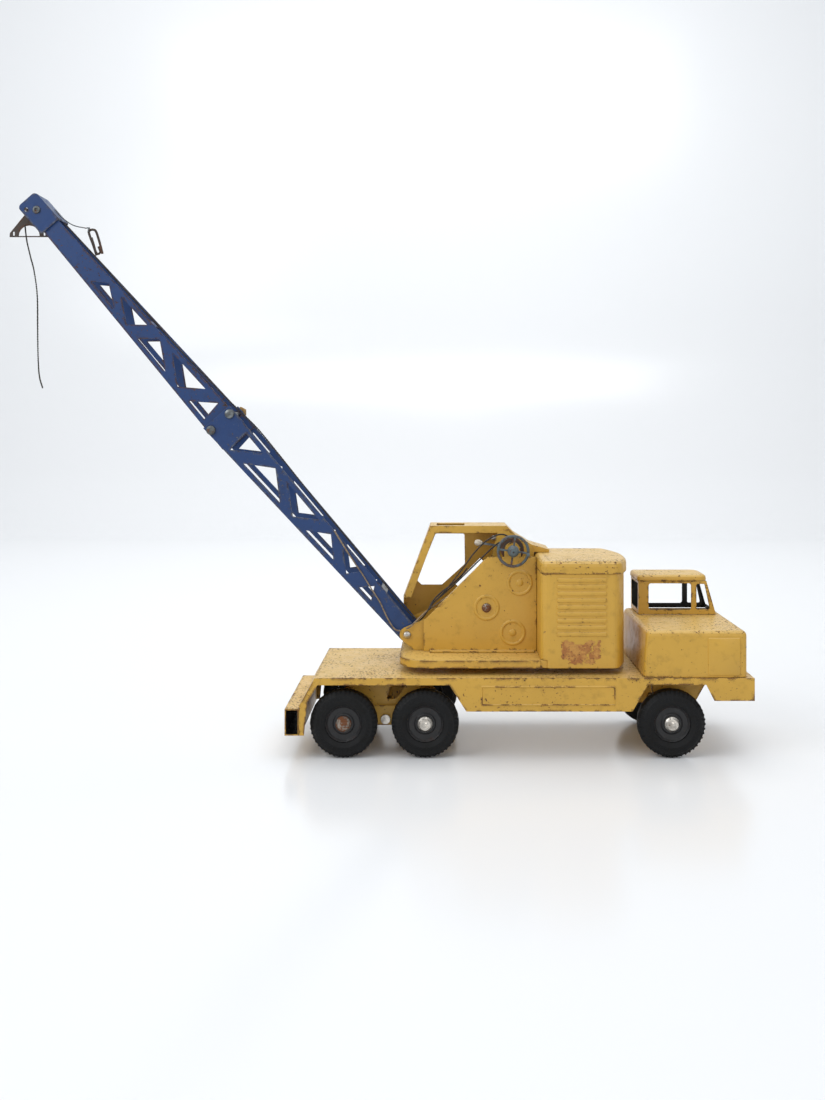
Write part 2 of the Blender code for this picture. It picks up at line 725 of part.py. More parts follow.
def winch_gear():
    """The hand-wheel with its shaft and spool, the lever beside them, and the guide roller below."""
    shaft = [(0, 17.8), (PIN, 17.8), (PIN, -28.0), (0, -28.0)]
    finish(turned_ring(shaft, WINCH_X, WINCH_Z, 16), "winch_shaft", NICKEL, winch)
    core = PIN + GAP
    spool = [
        (core, 4), (11.5, 4), (11.5, 2.8), (5.5, 2.8), (5.5, -8.8), (11.5, -8.8), (11.5, -10),
        (core, -10),
    ]
    finish(turned_ring(spool, WINCH_X, WINCH_Z), "winch_spool", GREY, winch)

    hub = [
        (core, -17.5), (5.0, -17.5), (5.8, -22), (5.4, -27), (3.6, -30.4), (0.6, -31.4),
        (0.6, -28.4), (core, -28.4),
    ]
    hand_wheel = turned_ring(hub, WINCH_X, WINCH_Z)
    placed = across(WINCH_X, -23.0, WINCH_Z)
    ring = [(14.6 + 1.4 * math.cos(t), -1.4 * math.sin(t)) for t in (2 * math.pi * k / 8 for k in range(8))]
    rim = tool(turned(ring, placed, 32), winch)
    combine(hand_wheel, rim, "UNION")
    for k in range(4):
        spoke = tool(block(4.4, 13.8, -0.9, 0.9, -0.9, 0.9), winch)
        turn = Matrix.Rotation(math.radians(8 + 90 * k), 4, "Y")
        spoke.matrix_basis = Matrix.Translation(Vector((WINCH_X, -23.0, WINCH_Z)) * MM) @ turn
        combine(hand_wheel, spoke, "UNION")
    grip = turned(
        [(0, 3.4), (1.6, 2.8), (1.9, 1.2), (1.2, -1.5), (0, -1.5)],
        across(WINCH_X + 14.2, -25.2, WINCH_Z - 3.4, -1), 10,
    )
    combine(hand_wheel, tool(grip, winch), "UNION")
    finish(hand_wheel, "hand_wheel", GREY, winch)

    boss = [(core, 12), (4.6, 12), (4.6, 6), (core, 6)]
    lever = turned_ring(boss, WINCH_X, WINCH_Z)
    reach = Vector((-35.4, 0, 5.4))
    tip = Vector((WINCH_X, 9, WINCH_Z)) + reach * 0.80
    arm = block(3.6, 29.2, -1.0, 1.0, -1.0, 1.0)
    tilt = Matrix.Rotation(math.pi + math.atan2(reach.z, -reach.x), 4, "Y")
    arm.matrix_basis = Matrix.Translation(Vector((WINCH_X, 9, WINCH_Z)) * MM) @ tilt
    combine(lever, tool(arm, lever_axis), "UNION")
    finish(lever, "lever_arm", NICKEL, lever_axis)
    knob = [(0, 8.4), (2.0, 7.9), (3.1, 6.0), (3.2, 3.4), (2.0, 0.8), (0, 0.5)]
    along = Matrix.Translation(tip * MM) @ reach.to_track_quat("Z", "Y").to_matrix().to_4x4()
    finish(turned(knob, along, 14), "lever_knob", IVORY, lever_axis)

    pin = [
        (0, -16.4), (2.6, -16.0), (4.3, -14.8), (4.6, -13.5), (PIN, -13.5), (PIN, 16.5),
        (4.0, 16.5), (4.0, 17.6), (0, 17.6),
    ]
    finish(turned_ring(pin[::-1], GUIDE_X, GUIDE_Z, 16), "guide_pin", NICKEL, slew)
    roller = [
        (core, 14), (8, 14), (8, 12.8), (5, 12.8), (5, -10.2), (8, -10.2), (8, -11.4),
        (core, -11.4),
    ]
    finish(turned_ring(roller, GUIDE_X, GUIDE_Z), "guide_roller", GREY, guide)


turntable()
base_pan()
housing()
machinery_plates()
operator_cab()
boom_ears()
winch_gear()


def on_boom(u, v, y):
    """The world point that lies u along the boom, v above its centre line and at Y."""
    run, rise = math.cos(BOOM_ANGLE), math.sin(BOOM_ANGLE)
    return Vector((FOOT_X - u * run + v * rise, y, FOOT_Z + u * rise + v * run))


def boom_place(u=0.0, v=0.0, y=0.0):
    """A placing whose X runs up the boom, Y square to it and Z to the truck's left."""
    run, rise = math.cos(BOOM_ANGLE), math.sin(BOOM_ANGLE)
    turn = Matrix(((-run, rise, 0, 0), (0, 0, 1, 0), (rise, run, 0, 0), (0, 0, 0, 1)))
    return Matrix.Translation(on_boom(u, v, y) * MM) @ turn


def taper(u0, low, u1, high):
    return lambda u: low + (high - low) * (u - u0) / (u1 - u0)


def lattice(stations, top, bottom, first_up, shift=0.0):
    """Triangular windows whose points stand alternately on the top and the bottom chord."""
    windows = []
    bar = 18.8
    up = first_up
    for before, here, after in zip(stations, stations[1:], stations[2:]):
        start, end = before + bar, after - bar
        if up:
            corners = [
                (start, bottom(start) + CHORD), (end, bottom(end) + CHORD),
                (here, top(here) - CHORD),
            ]
        else:
            corners = [
                (start, top(start) - CHORD), (here, bottom(here) + CHORD),
                (end, top(end) - CHORD),
            ]
        windows.append([(u - shift, v) for u, v in corners])
        up = not up
    return windows


def boom_sections():
    """Two pairs of latticed side plates: the upper pair tapers in plan and laps inside the lower pair."""
    top, bottom = taper(0, 10.8, JOINT_U, 16.8), taper(0, -7.9, JOINT_U, -17.2)
    windows = lattice((30.0, *LOWER_STATIONS, 272.8), top, bottom, True)
    bolts = [(278.5, 11.6), (278.5, -12.8)]
    foot = [(0, bottom(0)), (-5.5, -6.0), (-8.5, -2.0), (-8.5, 4.0), (-5.5, 9.0), (0, top(0))]
    outline = [*foot, (JOINT_U, top(JOINT_U)), (JOINT_U, bottom(JOINT_U))]
    holes = [circle(u, v, BORE, 12) for u, v in [(0, 0), *bolts]]
    for name, y in (
        ("boom_lower_right", BOOM_Y - BOOM_HALF),
        ("boom_lower_left", BOOM_Y + BOOM_HALF - SHEET),
    ):
        plate = sheet([outline, *holes, *windows], SHEET, boom_place(0, 0, y + SHEET / 2))
        finish(plate, name, BLUE, luff)

    start, end = JOINT_U - LAP, HEAD_U - 8
    top, bottom = taper(start, 15.8, HEAD_U - 18.3, 8.9), taper(start, -17.0, HEAD_U - 18.3, -9.4)
    windows = lattice((272.7, *UPPER_STATIONS, 488.0), top, bottom, True, start)
    corners = ((start, bottom(start)), (start, top(start)), (end, top(end)), (end, bottom(end)))
    outline = [(u - start, v) for u, v in corners]
    holes = [circle(u - start, v, BORE, 12) for u, v in bolts]
    wide = BOOM_HALF - SHEET - GAP
    slope = math.atan2(wide - HEAD_HALF, end - start)
    for name, hand in (("boom_upper_right", -1), ("boom_upper_left", 1)):
        foot_place = boom_place(start, 0, BOOM_Y + hand * (wide - SHEET / 2))
        placed = foot_place @ Matrix.Rotation(hand * slope, 4, "Y")
        finish(sheet([outline, *holes, *windows], SHEET, placed), name, BLUE, luff)

    low, high = BOOM_Y - BOOM_HALF - GAP, BOOM_Y + BOOM_HALF + GAP
    for name, (u, v), nut in (
        ("joint_bolt_low", bolts[1], NICKEL), ("joint_bolt_high", bolts[0], BRASS),
    ):
        bolt = [
            (0, high + 4.2), (2.2, high + 4.2), (2.2, high + 3.2), (5.4, high + 3.0),
            (5.4, high), (PIN, high),
        ]
        bolt += [(PIN, low), (4.8, low), (4.4, low - 1.8), (2.4, low - 2.8), (0, low - 3.0)]
        finish(turned(bolt, boom_place(u, v, 0), 14), name, nut, luff)

    tie = block(-4, 4, -0.7, 0.7, SHEET + GAP - BOOM_HALF, BOOM_HALF - SHEET - GAP)
    tie.matrix_basis = boom_place(47, 9.9, BOOM_Y)
    finish(tie, "boom_tie_low", GREY, luff)
    half = wide - (405 - start) * math.tan(slope) - SHEET - GAP
    tie = block(-4, 4, -0.7, 0.7, -half, half)
    tie.matrix_basis = boom_place(401, 9.4, BOOM_Y)
    finish(tie, "boom_tie_high", BLUE, luff)


def boom_head():
    """The head block, its eyelet and sheave, and the hook bracket that swings below."""
    inner, outer = HEAD_HALF + 0.9, HEAD_HALF + 2.1
    back, front = HEAD_U - 21.3, HEAD_U + 14.7
    outline = rounded([(back, -12.6), (front, -12.6), (front, 10.8), (back, 10.8)], (2, 4, 4, 2), 3)
    hook_u, hook_v = HEAD_U + 7.2, -7.6
    bores = [circle(HEAD_U, 0, BORE, 14), circle(hook_u, hook_v, 2.0, 12)]
    head = sheet([outline, *bores], 2 * outer, boom_place(0, 0, BOOM_Y))
    throat = block(back - 7, front + 7, -30, 10.8 - SHEET, -inner, inner)
    throat.matrix_basis = boom_place(0, 0, BOOM_Y)
    combine(head, tool(throat, luff))
    finish(head, "head_block", BLUE, luff)
    low, high = BOOM_Y - outer - GAP, BOOM_Y + outer + GAP
    eyelet = [
        (0, high + 1.1), (3.5, high + 1.1), (3.9, high), (PIN, high), (PIN, low), (3.9, low),
        (3.5, low - 1.1),
    ]
    eyelet += [(1.8, low - 1.1), (1.5, low - 0.1), (0, low - 0.1)]
    finish(turned(eyelet, boom_place(HEAD_U, 0, 0), 14), "head_eyelet", GREY, luff)
    sheave = [(PIN + GAP, 2.5), (6.5, 2.5), (4.6, 0.8), (4.6, -0.8), (6.5, -2.5), (PIN + GAP, -2.5)]
    finish(turned(sheave, boom_place(HEAD_U, 0, BOOM_Y + 7), 16), "head_sheave", NICKEL, sheave_axis)

    hook = on_boom(hook_u, hook_v, BOOM_Y)
    shape = [
        (-3.2, 1.6), (0, 3.4), (3.2, 1.6), (16.2, -21.0), (16.4, -25.0), (-21.93, -25.0),
        (-21.6, -21.0),
    ]
    turns = [math.pi * k / 10 for k in range(11)]
    mouth = [(-2.4 + 10.7 * math.cos(t), -24.0 + 10.7 * math.sin(t)) for t in turns]
    slits = [[(x, -23.6), (x + 2, -23.6), (x + 2, -19.6), (x, -19.6)] for x in (-18.8, 12.0)]
    loops = [[(hook.x + x, hook.z + z) for x, z in loop] for loop in (shape, mouth, *slits)]
    bracket = side(loops, BOOM_Y - 0.7, BOOM_Y + 0.7)
    trunnion = rod(1.5, BOOM_Y - outer - 0.6, BOOM_Y + outer + 0.6, hook.x, hook.z, 12)
    combine(bracket, tool(trunnion, hook_axis), "UNION")
    finish(bracket, "hook_bracket", BROWN, hook_axis)


def foot_pin():
    pin = [
        (0, 46.6), (3.4, 46.2), (4.0, 44.9), (PIN, 44.9), (PIN, -8.5), (4.0, -8.5), (3.4, -10.2),
        (1.6, -11), (0, -11.1),
    ]
    finish(turned(pin, across(FOOT_X, 0, FOOT_Z), 14), "foot_pin", NICKEL, slew)


CORD = 1.7
WIRE = 1.1


def cords():
    """The hoist cord, the slack line, the cord below the hook bracket, and the wire with its clip."""
    hoist = [
        (533, 10.4), (500, 11.6), (450, 12.2), (400, 13.4), (350, 14.6), (310, 16.4),
        (278, 18.6), (252, 20.6),
    ]
    hoist += [
        (220, 19.6), (185, 18.0), (150, 16.6), (110, 15.6), (70, 14.6), (40, 13.4), (18, 13.0),
        (5, 13.2),
    ]
    finish(cord([on_boom(u, v, 12) for u, v in hoist], CORD, 8.5), "hoist_cord_boom", DARK, luff)
    upper = [
        (-22.2, 11, 113.6), (-16, 7, 121), (-9, 1, 132), (6, -3, 148.5), (22.6, -3, 170),
        (33, -3, 184),
    ]
    upper += [(44, -3, 195), (53.5, -3, 200.6), (60.5, -3, 202.0), (66.0, -3, 200.0), (69.5, -3, 196.2)]
    finish(cord(upper, CORD, 5), "hoist_cord_house", DARK, slew)
    face = BOOM_Y - BOOM_HALF - CORD / 2 - GAP
    line = [
        (124, 13.4, face), (93, 8.4, face), (75, 6.2, face), (58, 3.4, face), (42, 0.9, face),
        (27, -3.4, face),
    ]
    line += [(15, -5.4, -9.3), (10.4, -4.6, -9.5), (7.6, -2.3, -9.5)]
    finish(cord([on_boom(*p) for p in line], CORD, 4.5), "slack_line_boom", TAN, luff)
    rise = [on_boom(5.2, 3.6, -10.1), (-29.6, -10.1, 112.6), (-23.0, -9.6, 119.2), (-15, -6.0, 126.0)]
    rise += [(-7, -2.2, 131.2), (3, -1.6, 138.0), (12, -1.8, 143.4), (22, -3.6, 144.5), (33, -5, 141.6)]
    rise += [(44.5, -5, 137.6)]
    finish(cord(rise, CORD, 4.5), "slack_line_house", TAN, slew)
    drop = [(-417.8, 16.2, 511.0), (-417.4, 16.2, 506.5), (-415.8, 16.2, 494.1), (-412.2, 16.2, 478.5)]
    drop += [(-408.7, 16.2, 464.6), (-405.5, 16.2, 439.5), (-405.1, 16.2, 403.6), (-404.6, 16.2, 376.7)]
    drop += [(-403.3, 16.2, 358.8), (-400.1, 16.2, 347.1)]
    finish(cord(drop, CORD, 4.5), "hanging_cord", DARK, hook_axis)
    stay = [
        on_boom(552, 11.7, BOOM_Y), on_boom(541, 11.9, BOOM_Y), (-370.1, BOOM_Y, 511.0),
        (-357.2, BOOM_Y, 508.0),
    ]
    finish(cord(stay, WIRE, 2.5), "clip_wire", GREY, luff)
    clip = [
        (-347.2, 480.8), (-350.0, 490.0), (-354.4, 503.6), (-353.4, 505.9), (-350.0, 506.3),
        (-347.6, 504.4),
    ]
    clip += [(-344.6, 494.0), (-341.6, 482.6)]
    finish(cord([(x, BOOM_Y, z) for x, z in clip], 1.8, 2.2), "hook_clip", GREY, clip_axis)


boom_sections()
boom_head()
foot_pin()
cords()
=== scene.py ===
# %% [markdown]
# # A toy crane truck, in cells
# The truck's solids come from its CAD model and stay where they are. Each step below says
# what a piece or a finish is on the real toy, how it could be made, and why this way was chosen.

import math
import random

import bmesh
import bpy
from mathutils import Matrix, Vector


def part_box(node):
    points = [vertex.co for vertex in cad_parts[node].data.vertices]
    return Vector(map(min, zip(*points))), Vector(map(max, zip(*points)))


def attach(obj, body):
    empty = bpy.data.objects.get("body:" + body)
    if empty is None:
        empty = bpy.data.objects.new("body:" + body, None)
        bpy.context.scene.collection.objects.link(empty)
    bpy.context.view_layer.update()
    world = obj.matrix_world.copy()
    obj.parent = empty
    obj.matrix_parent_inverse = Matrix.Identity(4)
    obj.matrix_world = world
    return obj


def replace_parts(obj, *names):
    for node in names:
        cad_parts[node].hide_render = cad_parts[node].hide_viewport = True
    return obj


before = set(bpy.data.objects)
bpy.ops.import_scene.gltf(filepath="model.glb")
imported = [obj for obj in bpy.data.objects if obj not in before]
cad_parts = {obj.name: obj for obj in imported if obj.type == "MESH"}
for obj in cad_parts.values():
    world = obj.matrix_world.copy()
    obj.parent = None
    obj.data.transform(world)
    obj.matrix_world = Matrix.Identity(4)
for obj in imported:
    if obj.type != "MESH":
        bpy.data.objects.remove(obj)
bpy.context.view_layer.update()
MM = 0.001


# %% [markdown]
# ## Camera
# The truck is seen square to its right side from a little above the house, as on a table top.
# The camera looks level and its lens is shifted, so that upright edges stay upright.

# %% Camera
LENS_SHIFT = (-28.5 / 1100, -126 / 1100)
CAMERA_PLACE = (0.0714, -1.107, 0.311)


def add_camera():
    lens = bpy.data.cameras.new("camera")
    lens.lens = 36.6
    lens.sensor_width = 36.0
    lens.sensor_fit = "AUTO"
    lens.shift_x, lens.shift_y = LENS_SHIFT
    lens.clip_start = 0.05
    lens.dof.use_dof = False
    camera = bpy.data.objects.new("camera", lens)
    camera.location = CAMERA_PLACE
    camera.rotation_euler = (math.radians(90), 0, 0)
    bpy.context.scene.collection.objects.link(camera)
    bpy.context.scene.camera = camera
    return camera


print("camera at", tuple(add_camera().location))


# %% [markdown]
# ## Helpers for shaders
# A finish is a small net of nodes. Naming the few that come back keeps each finish short:
# a noise at a stated grain, a mix of two colours, a bit of arithmetic, and a ramp between
# two levels.

# %% Shader helpers
class Finish:
    """One material whose nodes are added and wired by short calls."""

    def __init__(self, name, metallic=0.0, **sockets):
        self.material = bpy.data.materials.new(name)
        self.material.use_nodes = True
        self.tree = self.material.node_tree
        self.shader = self.tree.nodes["Principled BSDF"]
        self.shader.inputs["Metallic"].default_value = metallic
        for socket, value in sockets.items():
            self.shader.inputs[socket.replace("_", " ")].default_value = value
        self.place = self.tree.nodes.new("ShaderNodeTexCoord").outputs["Object"]

    def plug(self, source, socket):
        if isinstance(source, bpy.types.NodeSocket):
            self.tree.links.new(source, socket)
        elif isinstance(source, tuple):
            socket.default_value = (*source, 1.0)
        else:
            socket.default_value = source

    def noise(self, grain, detail=4.0, rough=0.55, stretch=(1, 1, 1), shift=(0, 0, 0)):
        """Cloudy noise whose blotches are about grain millimetres across."""
        spot = self.place
        if stretch != (1, 1, 1) or shift != (0, 0, 0):
            spread = self.tree.nodes.new("ShaderNodeMapping")
            spread.inputs["Scale"].default_value = stretch
            spread.inputs["Location"].default_value = shift
            self.plug(spot, spread.inputs["Vector"])
            spot = spread.outputs["Vector"]
        node = self.tree.nodes.new("ShaderNodeTexNoise")
        node.inputs["Scale"].default_value = 1 / (grain * MM)
        node.inputs["Detail"].default_value = detail
        node.inputs["Roughness"].default_value = rough
        self.plug(spot, node.inputs["Vector"])
        return node.outputs["Fac"]

    def sum(self, way, a, b=0.0):
        node = self.tree.nodes.new("ShaderNodeMath")
        node.operation = way
        self.plug(a, node.inputs[0])
        self.plug(b, node.inputs[1])
        return node.outputs[0]

    def level(self, value, low, high, start=0.0, end=1.0):
        """Value from low to high becomes start to end, held beyond both."""
        node = self.tree.nodes.new("ShaderNodeMapRange")
        node.interpolation_type = "SMOOTHSTEP"
        self.plug(value, node.inputs["Value"])
        ends = {"From Min": low, "From Max": high, "To Min": start, "To Max": end}
        for socket, number in ends.items():
            node.inputs[socket].default_value = number
        return node.outputs["Result"]

    def mix(self, amount, a, b):
        node = self.tree.nodes.new("ShaderNodeMix")
        node.data_type = "RGBA"
        self.plug(amount, node.inputs[0])
        self.plug(a, node.inputs[6])
        self.plug(b, node.inputs[7])
        return node.outputs[2]

    def edges(self, width):
        """1 on sharp edges, falling to 0 about width millimetres away."""
        bevel = self.tree.nodes.new("ShaderNodeBevel")
        bevel.samples = 6
        bevel.inputs["Radius"].default_value = width * MM
        here = self.tree.nodes.new("ShaderNodeNewGeometry").outputs["Normal"]
        turn = self.tree.nodes.new("ShaderNodeVectorMath")
        turn.operation = "DOT_PRODUCT"
        self.plug(bevel.outputs["Normal"], turn.inputs[0])
        self.plug(here, turn.inputs[1])
        return self.level(self.sum("SUBTRACT", 1.0, turn.outputs["Value"]), 0.01, 0.16)

    def facing_up(self):
        """1 on faces that look straight up, 0 on upright ones."""
        apart = self.tree.nodes.new("ShaderNodeSeparateXYZ")
        self.plug(self.tree.nodes.new("ShaderNodeNewGeometry").outputs["Normal"], apart.inputs[0])
        return apart.outputs["Z"]

    def turned_in(self, middle, along=(1, 1, 1)):
        """1 on faces that look towards the middle of a hollow, in metres, and 0 outside it."""
        inward = self.tree.nodes.new("ShaderNodeVectorMath")
        inward.operation = "SUBTRACT"
        inward.inputs[0].default_value = middle
        self.plug(self.place, inward.inputs[1])
        kept = self.tree.nodes.new("ShaderNodeVectorMath")
        kept.operation = "MULTIPLY"
        self.plug(inward.outputs["Vector"], kept.inputs[0])
        kept.inputs[1].default_value = along
        lean = self.tree.nodes.new("ShaderNodeVectorMath")
        lean.operation = "DOT_PRODUCT"
        self.plug(kept.outputs["Vector"], lean.inputs[0])
        self.plug(self.tree.nodes.new("ShaderNodeNewGeometry").outputs["Normal"], lean.inputs[1])
        return self.level(lean.outputs["Value"], 0.0008, 0.0025)

    def bump(self, value, depth, under=None):
        """Raises the surface by value times depth millimetres."""
        node = self.tree.nodes.new("ShaderNodeBump")
        node.inputs["Strength"].default_value = 1.0
        node.inputs["Distance"].default_value = depth * MM
        self.plug(value, node.inputs["Height"])
        if under:
            self.plug(under, node.inputs["Normal"])
        return node.outputs["Normal"]

    def round_edges(self, width):
        """Shades sharp edges as if rounded by width millimetres."""
        node = self.tree.nodes.new("ShaderNodeBevel")
        node.samples = 6
        node.inputs["Radius"].default_value = width * MM
        return node.outputs["Normal"]

    def done(self, colour, rough, normal=None, metal=None):
        """Wires the last values to the shader and returns the material."""
        self.plug(colour, self.shader.inputs["Base Color"])
        self.plug(rough, self.shader.inputs["Roughness"])
        if normal:
            self.plug(normal, self.shader.inputs["Normal"])
        if metal:
            self.plug(metal, self.shader.inputs["Metallic"])
        return self.material


print("helpers ready")


# %% [markdown]
# ## Worn enamel
# The toy is pressed steel dipped in one thick coat of paint. Decades of play broke the paint
# along folded edges first, where a sheet is hit most, then in small pits all over the flat
# tops. Bare spots rusted brown; faces that look up are painted paler as a painted highlight.
# Edge wear could be painted by hand, but a Bevel node finds each fold by itself on any part.

# %% Worn enamel
RUST_DARK = (0.035, 0.016, 0.010)
RUST_WARM = (0.16, 0.055, 0.018)
SHADOW = (0.006, 0.005, 0.004)
PATCH_GRAIN, MOTTLE_GRAIN, FLAKE_GRAIN, PIT_GRAIN = 60, 9, 7.5, 2.6


def darker(colour, share):
    return tuple(channel * share for channel in colour)


def worn_enamel(
    name, coat, lit_top_colour, wear=0.5, specks=0.5, grime=0.3, gloss=0.34, under=RUST_WARM,
    shift=(0, 0, 0), hollow=None,
):
    """Enamel that is chipped along edges by wear and pitted by specks, both from 0 to 1."""
    paint = Finish(name, Specular_IOR_Level=0.5)
    patches = paint.noise(PATCH_GRAIN, 3, 0.5, shift=shift)
    mottle = paint.noise(MOTTLE_GRAIN, 5, 0.6, shift=shift)
    pits = paint.noise(PIT_GRAIN, 4, 0.62, shift=shift)
    flakes = paint.noise(FLAKE_GRAIN, 7, 0.68, shift=shift)
    fold = paint.sum("MAXIMUM", paint.edges(1.6), paint.sum("MULTIPLY", paint.edges(4.0), 0.75))
    luck = paint.level(paint.noise(24, 3, 0.6, shift=shift), 0.38, 0.62, 0.35, 1.1)
    fold = paint.sum("MULTIPLY", fold, luck)
    up = paint.level(paint.facing_up(), 0.3, 0.95)
    cloudy = paint.sum("SUBTRACT", patches, 0.5)

    tone = paint.level(patches, 0.3, 0.7)
    colour = paint.mix(paint.sum("MULTIPLY", tone, 0.6), coat, darker(coat, 0.86))
    # Painted highlight: faces that look up are mixed towards the paler colour, as if lit from
    # above.
    colour = paint.mix(paint.sum("MULTIPLY", up, 0.55), colour, lit_top_colour)
    dirt = paint.level(mottle, 0.52, 0.75, 0, grime)
    colour = paint.mix(dirt, colour, darker(coat, 0.42))

    pitting = paint.sum("ADD", pits, paint.sum("MULTIPLY", up, 0.035 + 0.05 * specks))
    pitting = paint.sum("ADD", pitting, paint.sum("MULTIPLY", cloudy, 0.25))
    pitted = paint.level(pitting, 0.715 - 0.08 * specks, 0.74 - 0.08 * specks)
    broken = paint.sum("ADD", flakes, paint.sum("MULTIPLY", fold, 0.10 + 0.24 * wear))
    broken = paint.sum("ADD", broken, paint.sum("MULTIPLY", cloudy, 0.2))
    flaked = paint.level(broken, 0.70 - 0.05 * wear, 0.722 - 0.05 * wear)
    bare = paint.sum("MAXIMUM", pitted, flaked)

    rust = paint.mix(paint.level(paint.noise(3.5, 5, 0.7), 0.35, 0.65), RUST_DARK, under)
    halo = paint.level(paint.sum("MAXIMUM", pitting, broken), 0.60, 0.74, 0, 0.35)
    colour = paint.mix(halo, colour, tuple(c * 0.62 + r * 0.2 for c, r in zip(coat, RUST_WARM)))
    colour = paint.mix(bare, colour, rust)
    if hollow:
        colour = paint.mix(paint.turned_in(*hollow), colour, SHADOW)
    dull = paint.level(mottle, 0.3, 0.8, gloss, gloss + 0.16)
    rough = paint.sum("MAXIMUM", dull, paint.sum("MULTIPLY", bare, 0.82))

    normal = paint.bump(paint.noise(14, 2, 0.5), 0.35, paint.round_edges(0.9))
    normal = paint.bump(pits, 0.05, normal)
    normal = paint.bump(paint.sum("SUBTRACT", 1.0, bare), 0.12, normal)
    return paint.done(colour, rough, normal)


GOLD = (0.60, 0.345, 0.045)
GOLD_PALE = (0.70, 0.49, 0.17)
NAVY = (0.010, 0.042, 0.150)
NAVY_PALE = (0.04, 0.085, 0.19)
GREY_STEEL = (0.12, 0.13, 0.14)
BROWN_RUST = (0.09, 0.045, 0.026)
CABIN_HOLLOW = ((0.305, 0.044, 0.135), (1, 1, 1))
BUMPER_HOLLOW = ((-0.067, 0, 0.0342), (1, 0, 1))
finishes = {
    "body": worn_enamel("worn_yellow", GOLD, GOLD_PALE, 0.45, 0.35),
    "deck": worn_enamel("worn_yellow_deck", GOLD, GOLD_PALE, 0.75, 0.75, shift=(0.1, 0, 0)),
    "pan": worn_enamel("worn_yellow_pan", GOLD, GOLD_PALE, 1.0, 0.55, shift=(0, 0.2, 0)),
    "hood": worn_enamel("worn_yellow_hood", GOLD, GOLD_PALE, 0.6, 0.8, shift=(0.3, 0, 0.1)),
    "boom": worn_enamel("worn_blue", NAVY, NAVY_PALE, 0.85, 0.65, 0.3, 0.36, GREY_STEEL),
    "cab": worn_enamel(
        "worn_yellow_cab", GOLD, GOLD_PALE, 0.6, 0.6, shift=(0.5, 0, 0), hollow=CABIN_HOLLOW
    ),
    "bumper": worn_enamel(
        "worn_yellow_bumper", GOLD, GOLD_PALE, 0.8, 0.8, shift=(0.7, 0, 0), hollow=BUMPER_HOLLOW
    ),
    "upper_boom": worn_enamel(
        "worn_blue_upper", NAVY, NAVY_PALE, 1.0, 0.95, 0.4, 0.4, BROWN_RUST, (0, 0, 0.2)
    ),
}
print(sorted(finishes))


# %% [markdown]
# ## Rubber, bright metal, string and dark paint
# The tyres are matt black rubber with pale dust left in their ribs. Hub caps, pins and bolts
# were nickel plated and have dulled, with brown spots where the plate has gone. Cords are
# twisted fibre: the twist is modelled, so their finish only needs fuzz and colour variation.

# %% Rubber
TYRE_BLACK = (0.0035, 0.0038, 0.0043)
TYRE_DUST = (0.017, 0.016, 0.014)


def dusty_rubber(name):
    rubber = Finish(name, Specular_IOR_Level=0.25)
    dust = rubber.level(rubber.noise(11, 5, 0.6), 0.42, 0.72)
    colour = rubber.mix(rubber.sum("MULTIPLY", dust, 0.4), TYRE_BLACK, TYRE_DUST)
    rough = rubber.level(dust, 0, 1, 0.52, 0.8)
    normal = rubber.bump(rubber.noise(1.3, 4, 0.6), 0.05)
    return rubber.done(colour, rough, normal)


finishes["rubber"] = dusty_rubber("tyre_rubber")
print("rubber ready")


# %% Bright metal
def old_plate(name, bright, rust_share, gloss=0.24, colour_of_rust=RUST_WARM):
    """Plated metal that has dulled, with rust_share of it gone brown."""
    plate = Finish(name, metallic=1.0)
    spots = plate.noise(1.7, 6, 0.7)
    clouds = plate.noise(6, 3, 0.5)
    cloudy = plate.sum("MULTIPLY", plate.sum("SUBTRACT", clouds, 0.5), 0.5)
    amount = plate.sum("ADD", spots, cloudy)
    gone = plate.level(amount, 0.74 - 0.3 * rust_share, 0.80 - 0.3 * rust_share)
    dulled = plate.mix(plate.level(clouds, 0.35, 0.7), bright, darker(bright, 0.55))
    colour = plate.mix(gone, dulled, colour_of_rust)
    dull = plate.level(clouds, 0.3, 0.7, gloss, gloss + 0.2)
    rough = plate.sum("MAXIMUM", dull, plate.sum("MULTIPLY", gone, 0.8))
    normal = plate.bump(plate.sum("SUBTRACT", 1.0, gone), 0.06, plate.round_edges(0.4))
    return plate.done(colour, rough, normal, plate.level(gone, 0, 1, 1.0, 0.2))


finishes["nickel"] = old_plate("old_nickel", (0.62, 0.58, 0.52), 0.35)
finishes["rusty"] = old_plate("rusty_steel", (0.30, 0.26, 0.22), 0.95, 0.4)
finishes["steel"] = old_plate("grey_steel", (0.20, 0.215, 0.22), 0.45, 0.36)
TARNISH = (0.05, 0.03, 0.015)
finishes["brass"] = old_plate("tarnished_brass", (0.38, 0.24, 0.10), 0.5, 0.36, TARNISH)
print("metals ready")


# %% Darker enamels
BLUE_GREY, BLUE_GREY_PALE = (0.085, 0.115, 0.125), (0.14, 0.17, 0.18)
DISC_BLACK, DISC_GREY, DISC_BARE = (0.008, 0.008, 0.009), (0.02, 0.02, 0.02), (0.03, 0.03, 0.032)
BROWN, BROWN_PALE = (0.05, 0.034, 0.026), (0.08, 0.06, 0.05)
finishes["winch"] = worn_enamel("worn_blue_grey", BLUE_GREY, BLUE_GREY_PALE, 0.6, 0.4, gloss=0.4)
finishes["disc"] = worn_enamel(
    "worn_black", DISC_BLACK, DISC_GREY, 0.1, 0.1, gloss=0.42, under=DISC_BARE
)
finishes["bracket"] = worn_enamel("worn_brown", BROWN, BROWN_PALE, 0.8, 0.8, gloss=0.5)
print("winch, disc and bracket enamels ready")


# %% Cord, knob and label
def fibre(name, dark, light):
    yarn = Finish(name, Sheen_Weight=0.25, Sheen_Roughness=0.5)
    colour = yarn.mix(yarn.level(yarn.noise(3.5, 6, 0.7), 0.35, 0.68), dark, light)
    return yarn.done(colour, 0.92, yarn.bump(yarn.noise(0.3, 3, 0.7), 0.08))


